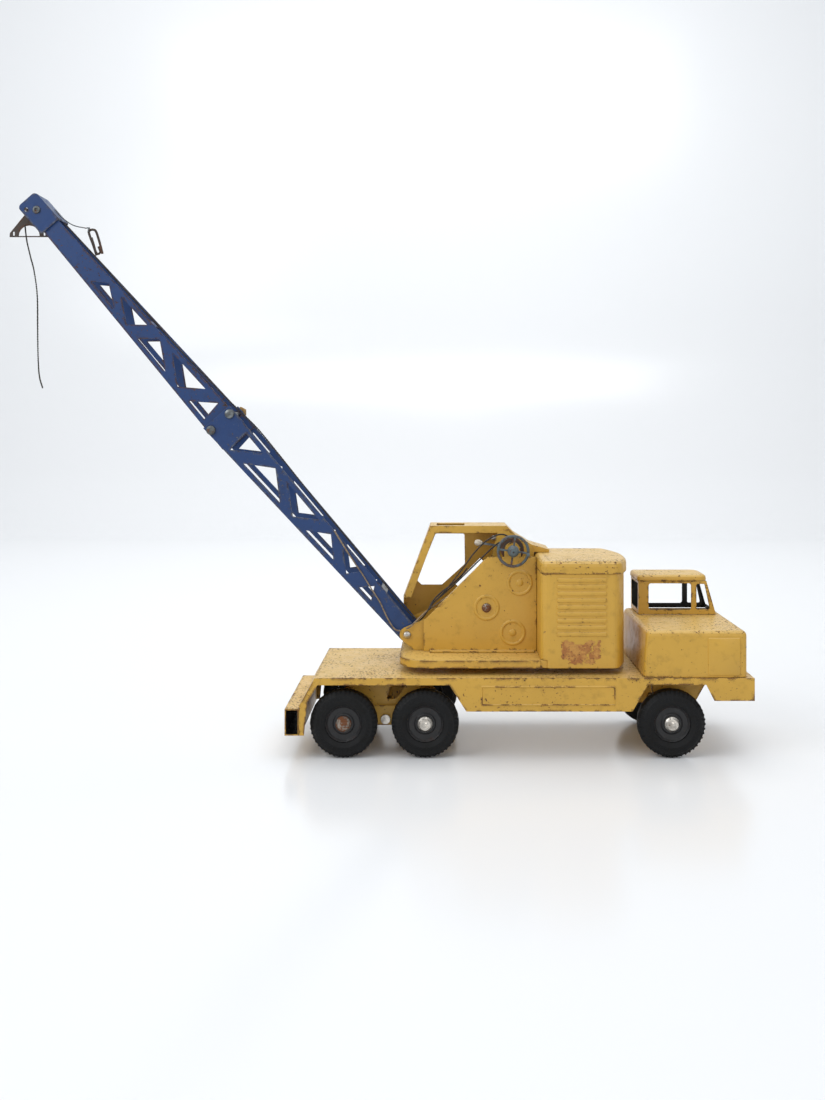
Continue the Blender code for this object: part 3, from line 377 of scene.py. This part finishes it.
def plain_plastic(name, colour, aged):
    plastic = Finish(name, Specular_IOR_Level=0.5, Coat_Weight=0.2)
    stain = plastic.level(plastic.noise(2.4, 5, 0.65), 0.4, 0.75)
    shade = plastic.mix(stain, colour, aged)
    rough = plastic.level(stain, 0, 1, 0.3, 0.55)
    return plastic.done(shade, rough, plastic.bump(plastic.noise(1.1), 0.03))


def old_label(name):
    paper = Finish(name, Specular_IOR_Level=0.4)
    blot = paper.noise(8, 6, 0.65)
    fine = paper.noise(1.8, 4, 0.7)
    colour = paper.mix(paper.level(blot, 0.42, 0.56), (0.36, 0.14, 0.035), (0.52, 0.26, 0.06))
    colour = paper.mix(paper.level(fine, 0.57, 0.64), colour, (0.06, 0.03, 0.014))
    return paper.done(colour, 0.6, paper.bump(fine, 0.05))


finishes["dark_cord"] = fibre("dark_cord", (0.012, 0.010, 0.009), (0.045, 0.036, 0.03))
finishes["tan_cord"] = fibre("tan_cord", (0.16, 0.11, 0.065), (0.34, 0.26, 0.17))
finishes["knob"] = plain_plastic("ivory_plastic", (0.56, 0.50, 0.40), (0.36, 0.29, 0.2))
finishes["label"] = old_label("torn_label")
print(len(finishes), "finishes")


# %% [markdown]
# ## Finishes on the solids
# Each solid keeps its shape and only gets a richer surface. Finishes could be set one solid at
# a time, but a table of each finish with the solids that wear it is quicker to read. Tyres and
# discs follow from the ends of their names.

# %% Paint the solids
painted = {
    "deck": "deck_frame front_hanger bogie_hanger bogie_beam turntable",
    "bumper": "rear_bumper",
    "hood": "hood_body",
    "cab": "cabin_walls cabin_roof",
    "body": "housing side_plate inner_plate operator_cab boom_ear_right boom_ear_left",
    "pan": "base_pan housing_cap",
    "boom": "boom_lower_right boom_lower_left head_block",
    "upper_boom": "boom_upper_right boom_upper_left boom_tie_high",
    "winch": "hand_wheel guide_roller",
    "nickel": "front_axle bogie_pin head_sheave rear_axle_1 foot_pin",
    "rusty": "rear_axle_2 winch_shaft guide_pin",
    "steel": "boom_tie_low head_eyelet joint_bolt_low joint_bolt_high clip_wire hook_clip "
    "lever_arm",
    "knob": "lever_knob",
    "bracket": "hook_bracket winch_spool",
    "dark_cord": "hoist_cord_boom hoist_cord_house hanging_cord",
    "tan_cord": "slack_line_boom slack_line_house",
}
look = {node: finish for finish, nodes in painted.items() for node in nodes.split()}
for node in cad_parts:
    if node.endswith("_tyre"):
        look[node] = "rubber"
    elif node.endswith("_disc"):
        look[node] = "disc"
for node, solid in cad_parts.items():
    solid.data.materials.clear()
    solid.data.materials.append(finishes[look[node]])
print(len(look), "solids painted")


# %% [markdown]
# ## New pieces
# Pressed-in shapes, ribs and rivets are separate little meshes here. Each is started by a
# bmesh operator, shaped flat at the origin, stood on its face of the truck, and then rides on
# the body that the face belongs to, so it follows every joint.

# %% Piece helpers
def add_piece(name, shape, finish, body, sharp=50):
    mesh = bpy.data.meshes.new(name)
    shape.to_mesh(mesh)
    shape.free()
    mesh.shade_smooth()
    mesh.set_sharp_from_angle(angle=math.radians(sharp))
    mesh.materials.append(finishes[finish])
    piece = bpy.data.objects.new(name, mesh)
    bpy.context.scene.collection.objects.link(piece)
    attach(piece, body)
    print(name, len(mesh.polygons), "faces, rides on", body)
    return piece


def facing_side(x, y, z, left=False):
    """A placing whose Z points out of the truck's right or left side, in metres."""
    turn = Matrix.Rotation(math.radians(90), 4, "X")
    if left:
        turn = Matrix.Rotation(math.radians(180), 4, "Z") @ turn
    return Matrix.Translation((x, y, z)) @ turn


def join(into, shape, placed):
    """Adds one bmesh to another at a placing."""
    shape.transform(placed)
    mesh = bpy.data.meshes.new("part")
    shape.to_mesh(mesh)
    shape.free()
    into.from_mesh(mesh)
    bpy.data.meshes.remove(mesh)


def rounded_plate(width, height, corner, steps=5):
    """A flat plate with rounded corners, in millimetres, that looks along +Z."""
    shape = bmesh.new()
    bmesh.ops.create_grid(shape, x_segments=1, y_segments=1, size=0.5 * MM)
    bmesh.ops.scale(shape, vec=(width, height, 1), verts=shape.verts)
    bmesh.ops.bevel(
        shape, geom=shape.verts[:], offset=corner * MM, affect="VERTICES", segments=steps,
        profile=0.5, material=-1,
    )
    return shape


def raise_steps(shape, steps):
    """Insets the one face by (inwards, upwards) steps in millimetres, and returns it."""
    face = shape.faces[:]
    for inwards, upwards in steps:
        bmesh.ops.inset_region(
            shape, faces=face, thickness=inwards * MM, depth=upwards * MM,
            use_boundary=True, use_even_offset=True,
        )
    return face


def turned(profile, steps=36):
    """A round shape from (radius, height) points in millimetres, standing on Z."""
    shape = bmesh.new()
    spots = [shape.verts.new((radius * MM, 0, height * MM)) for radius, height in profile]
    lines = [shape.edges.new(pair) for pair in zip(spots, spots[1:])]
    bmesh.ops.spin(
        shape, geom=spots + lines, cent=(0, 0, 0), axis=(0, 0, 1), angle=math.tau,
        steps=steps, use_merge=True,
    )
    bmesh.ops.remove_doubles(shape, verts=shape.verts, dist=1e-6)
    bmesh.ops.recalc_face_normals(shape, faces=shape.faces)
    top = max(shape.faces, key=lambda face: face.calc_center_median().z)
    if top.normal.z < 0:
        bmesh.ops.reverse_faces(shape, faces=shape.faces)
    return shape


print("piece helpers ready")


# %% [markdown]
# ## Twisted cord
# The cords are soft fibre in three strands. A tube with a painted twist looks flat at its
# outline, so three thin helices are swept along the cord's own line instead.

# %% Cord maker
CORD = 1.7


def smooth_route(points, spacing):
    """Evenly spaced points on a smooth curve through a route's own points, in millimetres."""
    route = [Vector(p) for p in points]
    route = [route[0] * 2 - route[1], *route, route[-1] * 2 - route[-2]]
    fine = []
    for a, b, c, d in zip(route, route[1:], route[2:], route[3:]):
        for k in range(12):
            t = k / 12
            curve = (2 * a - 5 * b + 4 * c - d) * t**2 + (3 * b - a - 3 * c + d) * t**3
            fine.append(0.5 * (2 * b + (c - a) * t + curve))
    fine.append(route[-2])
    kept = [fine[0]]
    for point in fine[1:-1]:
        if (point - kept[-1]).length >= spacing:
            kept.append(point)
    return [*kept, fine[-1]]


def mesh_of(curve):
    """The mesh that a curve sweeps, with the curve taken away again."""
    holder = bpy.data.objects.new("sweep", curve)
    bpy.context.scene.collection.objects.link(holder)
    bpy.context.view_layer.update()
    swept = holder.evaluated_get(bpy.context.evaluated_depsgraph_get())
    mesh = bpy.data.meshes.new_from_object(swept)
    bpy.data.objects.remove(holder)
    return mesh


def round_curve(name, thickness, sides):
    """An empty curve that sweeps a round section, with its thickness in metres."""
    curve = bpy.data.curves.new(name, "CURVE")
    curve.dimensions = "3D"
    curve.bevel_depth = thickness / 2
    curve.bevel_resolution = sides
    curve.use_fill_caps = True
    return curve


def twisted_cord(name, points, finish, body, pitch=4.2, strands=3, node=None):
    """Strands wound round a smooth line through points, which are in millimetres.

    The strands replace the solid of the same name, or only lie beside the one named by node.
    """
    line = [p * MM for p in smooth_route(points, 0.45)]
    helix = 0.46 * CORD / 2 * MM
    curve = round_curve(name, CORD * MM - 2 * helix, 2)
    for strand in range(strands):
        spline = curve.splines.new("POLY")
        spline.points.add(len(line) - 1)
        aside = Vector((0, 1, 0))
        run = 0.0
        for k, here in enumerate(line):
            ahead = (line[min(k + 1, len(line) - 1)] - line[max(k - 1, 0)]).normalized()
            aside = (aside - ahead * aside.dot(ahead)).normalized()
            if k:
                run += (here - line[k - 1]).length
            turn = math.tau * (run / (pitch * MM) + strand / strands)
            spot = here + helix * (math.cos(turn) * aside + math.sin(turn) * ahead.cross(aside))
            spline.points[k].co = (*spot, 1)
    shape = bmesh.new()
    mesh = mesh_of(curve)
    shape.from_mesh(mesh)
    bpy.data.meshes.remove(mesh)
    bmesh.ops.recalc_face_normals(shape, faces=shape.faces)
    piece = add_piece(name + "_strands", shape, finish, body, 80)
    if not node:
        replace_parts(piece, name)
    return piece, line


# %% Places on the boom
SHIFT = 71.4
FOOT_X, FOOT_Z = -33.3, 103.9
BOOM_ANGLE, BOOM_Y = math.radians(48.75), 18.2


def on_boom(u, v, y):
    """The point u millimetres up the boom from its foot pin and v above its centre line."""
    run, rise = math.cos(BOOM_ANGLE), math.sin(BOOM_ANGLE)
    return (FOOT_X - u * run + v * rise, y, FOOT_Z + u * rise + v * run)


def on_truck(points):
    """Points laid out along the carrier, moved to where the middle of the whole toy is 0."""
    return [(x + SHIFT, y, z) for x, y, z in points]


print("boom foot at", on_truck([on_boom(0, 0, BOOM_Y)])[0])


# %% [markdown]
# ## The cords' routes
# The hoist cord runs down the boom to the winch, with two more turns of it laid alongside in
# the house. A paler line sags by the boom foot. One short end hangs free under the hook
# bracket. A simulated rope would hang well but settle anew with each change, so each route is
# a short list of given points, and a smooth curve joins them.

# %% Hoist cord
hoist = [(533, 10.4), (500, 11.6), (450, 12.2), (400, 13.4), (350, 14.6), (310, 16.4)]
hoist += [(278, 18.6), (252, 20.6), (220, 19.6), (185, 18.0), (150, 16.6), (110, 15.6)]
hoist += [(70, 14.6), (40, 13.4), (18, 13.0), (5, 13.2)]
hoist = on_truck([on_boom(u, v, 12) for u, v in hoist])
twisted_cord("hoist_cord_boom", hoist, "dark_cord", "boom")
over = [(-22.2, 11, 113.6), (-16, 7, 121), (-9, 1, 132), (6, -3, 148.5), (22.6, -3, 170)]
over += [(33, -3, 184), (44, -3, 195), (53.5, -3, 200.6), (60.5, -3, 202.0), (66.0, -3, 200.0)]
over += [(69.5, -3, 196.2)]
twisted_cord("hoist_cord_house", on_truck(over), "dark_cord", "house")
wraps = [(-11.5, -7.5, 128.5), (-8.4, -4.0, 134.0), (3, -2.4, 143.6), (15, -2.4, 154.2)]
wraps += [(28, -2.4, 166.8), (39, -2.6, 177.6), (49, -2.6, 187.2), (57, -2.8, 193.6)]
wraps += [(64.5, -2.8, 196.0)]
twisted_cord("wrapped_cord", on_truck(wraps), "dark_cord", "house", node="hoist_cord_house")
wraps = [(-13.0, -6.0, 127.6), (-7, -2.6, 137.4), (1, -1.0, 145.0), (11, -1.0, 152.6)]
wraps += [(20, -1.4, 161.0), (26, -2.0, 168.6)]
twisted_cord("tucked_cord", on_truck(wraps), "dark_cord", "house", node="hoist_cord_house")


# %% Slack line
PLATE_SIDE = -6.95
slack = [(124, 13.4), (93, 8.4), (75, 6.2), (58, 3.4), (42, 0.9), (27, -3.4)]
slack = [(u, v, PLATE_SIDE) for u, v in slack]
slack += [(15, -5.4, -9.3), (10.4, -4.6, -9.5), (7.6, -2.3, -9.5)]
twisted_cord("slack_line_boom", on_truck([on_boom(*p) for p in slack]), "tan_cord", "boom", 3.4)
rise = [on_boom(5.2, 3.6, -10.1), (-29.6, -10.1, 112.6), (-23.0, -9.6, 119.2), (-15, -6.0, 126.0)]
rise += [(-7, -2.2, 131.2), (3, -1.6, 138.0), (12, -1.8, 143.4), (22, -3.6, 144.5), (33, -5, 141.6)]
rise += [(44.5, -5, 137.6)]
twisted_cord("slack_line_house", on_truck(rise), "tan_cord", "house", 3.4)


# %% Hanging cord
drop = [(-417.8, 16.2, 511.0), (-417.4, 16.2, 506.5), (-415.8, 16.2, 494.1), (-412.2, 16.2, 478.5)]
drop += [(-408.7, 16.2, 464.6), (-405.5, 16.2, 439.5), (-405.1, 16.2, 403.6), (-404.6, 16.2, 376.7)]
drop += [(-403.3, 16.2, 358.8), (-400.1, 16.2, 347.1)]
hanging, hanging_line = twisted_cord("hanging_cord", on_truck(drop), "dark_cord", "bracket")


# %% [markdown]
# ## Pressings on the side plate
# Three round pressings stiffen the plate: a raised ring, with a small dome at the centre of
# the two that hold no pin. They could be cut into the plate, but its solid stays as it is, so
# one open line of the section is spun about the ring's own axis and set on the plate's face.

# %% Rings
PLATE_FACE = -13.2 * MM
RING = [(12.9, -0.2), (12.5, 0.55), (11.6, 1.0), (10.6, 0.95), (9.8, 0.5), (9.4, -0.2)]
BOSS = [(3.7, -0.2), (3.2, 0.5), (2.2, 0.95), (1.1, 1.15), (0, 1.2)]
rings = bmesh.new()
for x, z, domed in ((148.3, 155.7, True), (115.9, 131.4, False), (141.4, 106.9, True)):
    join(rings, turned(RING, 44), facing_side(x * MM, PLATE_FACE, z * MM))
    if domed:
        join(rings, turned(BOSS, 24), facing_side(x * MM, PLATE_FACE, z * MM))
add_piece("side_plate_rings", rings, "body", "house", 80)


# %% [markdown]
# ## Louvres and label on the house
# Nine shallow bars are pressed out of each side wall, like closed louvres. Below those on the
# right a paper label has torn, and only stained patches of it are left, with nothing to read.

# %% Louvres
LOUVRES, LOUVRE_STEP, TOP_LOUVRE = 9, 6.37, 164.5
LOUVRE_X = 0.2037
housing_low, housing_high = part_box("housing")
for side, y in (("right", housing_low[1]), ("left", housing_high[1])):
    bars = bmesh.new()
    for k in range(LOUVRES):
        bar = rounded_plate(47, 4.2, 1.6, 4)
        raise_steps(bar, [(0.05, 0.35), (0.5, 0.55), (0.4, 0.2)])
        height = (TOP_LOUVRE - LOUVRE_STEP * k) * MM
        join(bars, bar, facing_side(LOUVRE_X, y, height, side == "left"))
    add_piece("housing_louvres_" + side, bars, "body", "house", 60)


# %% Torn label
LABEL_THICK = 0.12 * MM


def torn_label():
    """A thin sheet of small triangles, with a tear, a notch and ragged edges left out."""
    rng = random.Random(7)
    scraps = bmesh.new()
    bmesh.ops.create_grid(scraps, x_segments=30, y_segments=18, size=0.5 * MM)
    bmesh.ops.scale(scraps, vec=(37.5, 23.0, 1), verts=scraps.verts)
    bmesh.ops.triangulate(scraps, faces=scraps.faces)
    for spot in scraps.verts:
        spot.co.x += rng.uniform(-0.35, 0.35) * MM
        spot.co.y += rng.uniform(-0.35, 0.35) * MM
    gone = []
    for face in scraps.faces:
        x, y = face.calc_center_median().xy / MM
        tear = abs(x - 0.55 * y - 8.5 - 1.2 * math.sin(y * 0.9)) < 1.0 + 0.5 * math.sin(y * 1.7)
        notch = y > 7.5 and abs(x + 1) < 4.5 + 0.8 * (y - 7.5)
        foot = y < -6.5 and (x < -11 + 1.5 * math.sin(y * 2) or x > 13 + math.sin(y * 3))
        side_edge = abs(x) > 18.2 + 0.7 * math.sin(y * 1.3)
        long_edge = abs(y) > 10.8 + 0.6 * math.sin(x * 0.8)
        if tear or notch or foot or side_edge or long_edge:
            gone.append(face)
    bmesh.ops.delete(scraps, geom=gone, context="FACES")
    bmesh.ops.solidify(scraps, geom=scraps.faces[:], thickness=-LABEL_THICK)
    bmesh.ops.recalc_face_normals(scraps, faces=scraps.faces)
    return scraps


label = bmesh.new()
join(label, torn_label(), facing_side(0.2027, housing_low[1] - 0.14 * MM, 96.6 * MM))
add_piece("house_label", label, "label", "house", 40)


# %% [markdown]
# ## Pressings on deck and hood
# A long raised frame runs along each skirt of the deck. Each side of the hood has a shallow
# raised door panel near the nose, between two folded seams.

# %% Skirt frames and hood panels
deck_low, deck_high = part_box("deck_frame")
hood_low, hood_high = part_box("hood_body")
faces = {"right": (deck_low[1], hood_low[1]), "left": (deck_high[1], hood_high[1])}
for side, (deck_y, hood_y) in faces.items():
    left = side == "left"
    panel = rounded_plate(125.5, 18.8, 1.6)
    inner = raise_steps(panel, [(0.6, 0.75), (0.7, 0.1), (0.6, -0.87)])
    bmesh.ops.delete(panel, geom=inner, context="FACES_ONLY")
    frame_shape = bmesh.new()
    join(frame_shape, panel, facing_side(0.1709, deck_y, 0.0588, left))
    add_piece("skirt_frame_" + side, frame_shape, "deck", "carrier", 60)
    door = rounded_plate(30.0, 35.0, 1.2)
    raise_steps(door, [(0.1, 0.3), (0.6, 0.6)])
    door_shape = bmesh.new()
    join(door_shape, door, facing_side(0.33475, hood_y, 0.0948, left))
    add_piece("hood_door_" + side, door_shape, "body", "carrier", 60)


# %% [markdown]
# ## Tyre ribs
# Each rubber tyre has short ribs moulded over its outer shoulder, all the way round. One rib
# is shaped as a bent bar and spun into the others as copies.

# %% Ribs
RIBS = 44


def shoulder_ribs():
    ribs = bmesh.new()
    bmesh.ops.create_cube(ribs, size=1.0 * MM)
    bmesh.ops.scale(ribs, vec=(8.4, 1.5, 1.0), verts=ribs.verts)
    across = [edge for edge in ribs.edges if abs(edge.verts[0].co.x - edge.verts[1].co.x) > MM]
    bmesh.ops.subdivide_edges(ribs, edges=across, cuts=3, use_grid_fill=True)
    for spot in ribs.verts:
        reach = spot.co.x / MM + 4.2
        spot.co.z -= 0.082 * reach**1.75 * MM
        spot.co.y *= 0.7 + 0.05 * reach
    bmesh.ops.translate(ribs, vec=(27.0 * MM, 0, 0), verts=ribs.verts)
    bmesh.ops.spin(
        ribs, geom=ribs.verts[:] + ribs.edges[:] + ribs.faces[:], cent=(0, 0, 0), axis=(0, 0, 1),
        angle=math.tau, steps=RIBS, use_duplicate=True,
    )
    bmesh.ops.remove_doubles(ribs, verts=ribs.verts, dist=1e-6)
    return ribs


BEAD = [(21.8, -0.3), (21.5, 0.35), (20.9, 0.55), (20.2, 0.35), (19.8, -0.3)]
for side in ("right", "left"):
    for k in (1, 2, 3):
        wheel = f"wheel_{side}_{k}"
        low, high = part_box(wheel + "_tyre")
        middle = (low[0] + high[0]) / 2
        y = low[1] if side == "right" else high[1]
        rib_shape = bmesh.new()
        placed = facing_side(middle, y, (low[2] + high[2]) / 2, side == "left")
        join(rib_shape, shoulder_ribs(), placed @ Matrix.Translation((0, 0, -0.1 * MM)))
        join(rib_shape, turned(BEAD, 40), placed @ Matrix.Translation((0, 0, -1.2 * MM)))
        add_piece(wheel + "_ribs", rib_shape, "rubber", wheel, 40)


# %% [markdown]
# ## Hub caps and rivets
# Pressed caps close the axle ends. Each has a shallow ring and a nub where it was pushed on.
# A small bright rivet holds the inner plate behind the cord.

# %% Hub caps
CAP = [(5.6, -0.6), (5.3, 0.15), (4.6, 0.35), (4.0, 0.05), (2.6, 0.1), (2.0, 0.45), (1.0, 0.75)]
CAP += [(0, 0.8)]
hubs = {"front_axle": "carrier", "rear_axle_1": "bogie", "rear_axle_2": "bogie"}
for axle, body in hubs.items():
    low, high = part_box(axle)
    for side, y in (("right", low[1]), ("left", high[1])):
        cap = bmesh.new()
        middle, height = (low[0] + high[0]) / 2, (low[2] + high[2]) / 2
        join(cap, turned(CAP, 28), facing_side(middle, y, height, side == "left"))
        finish = "rusty" if axle == "rear_axle_2" else "nickel"
        add_piece(f"{axle}_cap_{side}", cap, finish, body, 70)

# %% Rivet
DOME = [(2.6, -0.1), (2.4, 0.6), (1.7, 1.2), (0.8, 1.5), (0, 1.6)]
inner_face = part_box("inner_plate")[0][1]
rivet = bmesh.new()
join(rivet, turned(DOME, 20), facing_side(0.1243, inner_face, 0.1967))
add_piece("inner_plate_rivet", rivet, "nickel", "house", 70)


# %% [markdown]
# ## Nut, clip and eye on the boom
# The upper boom pin is held by a brass nut on the far side, which stands above the plates.
# The spare hook is a stout bent clip with a dark shank inside it, and hangs from a wire's eye.

# %% Nut
NUT_RADIUS, NUT_HEIGHT = 5.9 * MM, 4.6 * MM
NUT_Y = 45.1 * MM
STUD = [(2.3, -0.5), (2.3, 3.6), (1.9, 4.2), (0, 4.3)]
nut = bmesh.new()
bmesh.ops.create_cone(
    nut, cap_ends=True, segments=6, radius1=NUT_RADIUS, radius2=NUT_RADIUS, depth=NUT_HEIGHT
)
bmesh.ops.bevel(
    nut, geom=nut.edges[:], offset=0.5 * MM, affect="EDGES", segments=2, profile=0.5, material=-1
)
nut_x, _, nut_z = on_truck([on_boom(278.5, 14.6, 0)])[0]
nut_place = facing_side(nut_x * MM, NUT_Y, nut_z * MM, True)
nut_shape = bmesh.new()
join(nut_shape, nut, nut_place)
join(nut_shape, turned(STUD, 18), nut_place)
add_piece("joint_nut", nut_shape, "brass", "boom", 40)


# %% Clip and eye
def bent_wire(into, points, thickness):
    """Sweeps a round wire along a smooth line, in millimetres, into a bmesh."""
    curve = round_curve("wire", thickness * MM, 4)
    line = smooth_route(points, 0.5)
    spline = curve.splines.new("POLY")
    spline.points.add(len(line) - 1)
    for spot, place in zip(spline.points, line):
        spot.co = (*(place * MM), 1)
    mesh = mesh_of(curve)
    into.from_mesh(mesh)
    bpy.data.meshes.remove(mesh)


clip = bmesh.new()
clip_line = [(-346.6, 480.8), (-349.6, 490.0), (-354.2, 503.0), (-353.4, 505.7)]
clip_line += [(-350.0, 506.5), (-347.0, 504.4), (-343.6, 494.0), (-340.6, 482.4)]
bent_wire(clip, on_truck([(x, BOOM_Y, z) for x, z in clip_line]), 2.5)
shank = [(-351.6, 498.5), (-349.4, 491.5), (-347.6, 485.0), (-345.4, 482.0), (-342.8, 484.2)]
shank += [(-344.6, 489.5)]
bent_wire(clip, on_truck([(x, BOOM_Y, z) for x, z in shank]), 2.3)
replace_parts(add_piece("spare_hook", clip, "bracket", "clip", 80), "hook_clip")
eye = bmesh.new()
turns = [math.tau * k / 12 for k in range(12)]
ring = [(-354.2, BOOM_Y + 2.3 * math.sin(t), 506.4 + 2.3 * math.cos(t)) for t in turns]
lead = [(-357.2, BOOM_Y, 508.0), (-355.8, BOOM_Y, 508.3)]
bent_wire(eye, on_truck(lead + ring), 1.1)
add_piece("wire_eye", eye, "steel", "boom", 80)


# %% [markdown]
# ## Floor and light
# The toy stands on a glossy white table in front of a white wall, in soft daylight from the
# left and above. One curved sheet makes both table and wall, and large area lamps stand in
# for the windows.

# %% Floor
FLOOR_HALF, WALL_START, FLOOR_DEPTH, WALL_HEIGHT = 6, 1.9, 5.5, 4
BEND_STEPS, BEND_STRIDE = 9, 0.12


def pulled(shape, edges, stride):
    """Extrudes edges along a stride in metres, and returns the new far edges."""
    made = bmesh.ops.extrude_edge_only(shape, edges=edges)["geom"]
    spots = [piece for piece in made if isinstance(piece, bmesh.types.BMVert)]
    bmesh.ops.translate(shape, vec=stride, verts=spots)
    return [piece for piece in made if isinstance(piece, bmesh.types.BMEdge)]


def add_floor():
    shape = bmesh.new()
    ends = [shape.verts.new((x, WALL_START, 0)) for x in (-FLOOR_HALF, FLOOR_HALF)]
    line = shape.edges.new(ends)
    pulled(shape, [line], (0, -FLOOR_DEPTH, 0))
    rising = [line]
    for step in range(BEND_STEPS):
        turn = math.radians(90 / BEND_STEPS * (step + 0.5))
        stride = (0, BEND_STRIDE * math.cos(turn), BEND_STRIDE * math.sin(turn))
        rising = pulled(shape, rising, stride)
    pulled(shape, rising, (0, 0, WALL_HEIGHT))
    bmesh.ops.recalc_face_normals(shape, faces=shape.faces)
    mesh = bpy.data.meshes.new("floor")
    shape.to_mesh(mesh)
    mesh.shade_smooth()
    floor = bpy.data.objects.new("floor", mesh)
    bpy.context.scene.collection.objects.link(floor)
    white = Finish("white_table")
    mesh.materials.append(white.done((0.86, 0.87, 0.88), 0.22, None))
    return floor


add_floor()
print("floor laid")


# %% Lamps and sky
def add_lamp(name, place, target, size, power, colour=(1, 1, 1)):
    lamp = bpy.data.lights.new(name, "AREA")
    lamp.shape = "RECTANGLE"
    lamp.size, lamp.size_y = size
    lamp.energy = power
    lamp.color = colour
    holder = bpy.data.objects.new(name, lamp)
    holder.location = place
    aim = Vector(target) - Vector(place)
    holder.rotation_euler = aim.to_track_quat("-Z", "Y").to_euler()
    bpy.context.scene.collection.objects.link(holder)


daylight = bpy.data.worlds.new("daylight")
daylight.use_nodes = True
sky = daylight.node_tree.nodes["Background"]
sky.inputs["Color"].default_value = (0.93, 0.96, 1.0, 1)
sky.inputs["Strength"].default_value = 0.62
bpy.context.scene.world = daylight
bpy.context.scene.view_settings.view_transform = "Standard"
add_lamp("window_left", (-1.6, -1.1, 1.5), (0.05, 0, 0.15), (1.4, 1.4), 19, (0.97, 0.985, 1.0))
add_lamp("sky", (0.3, 0.2, 2.3), (0.1, 0, 0.1), (2.2, 1.8), 21)
add_lamp("front", (0.7, -2.0, 0.9), (0.1, 0, 0.15), (1.6, 1.0), 6, (1.0, 0.98, 0.95))
add_lamp("wall_wash", (0.0, 0.9, 2.0), (0.0, 2.6, 0.7), (2.4, 0.6), 16)
print("lamps and sky set")
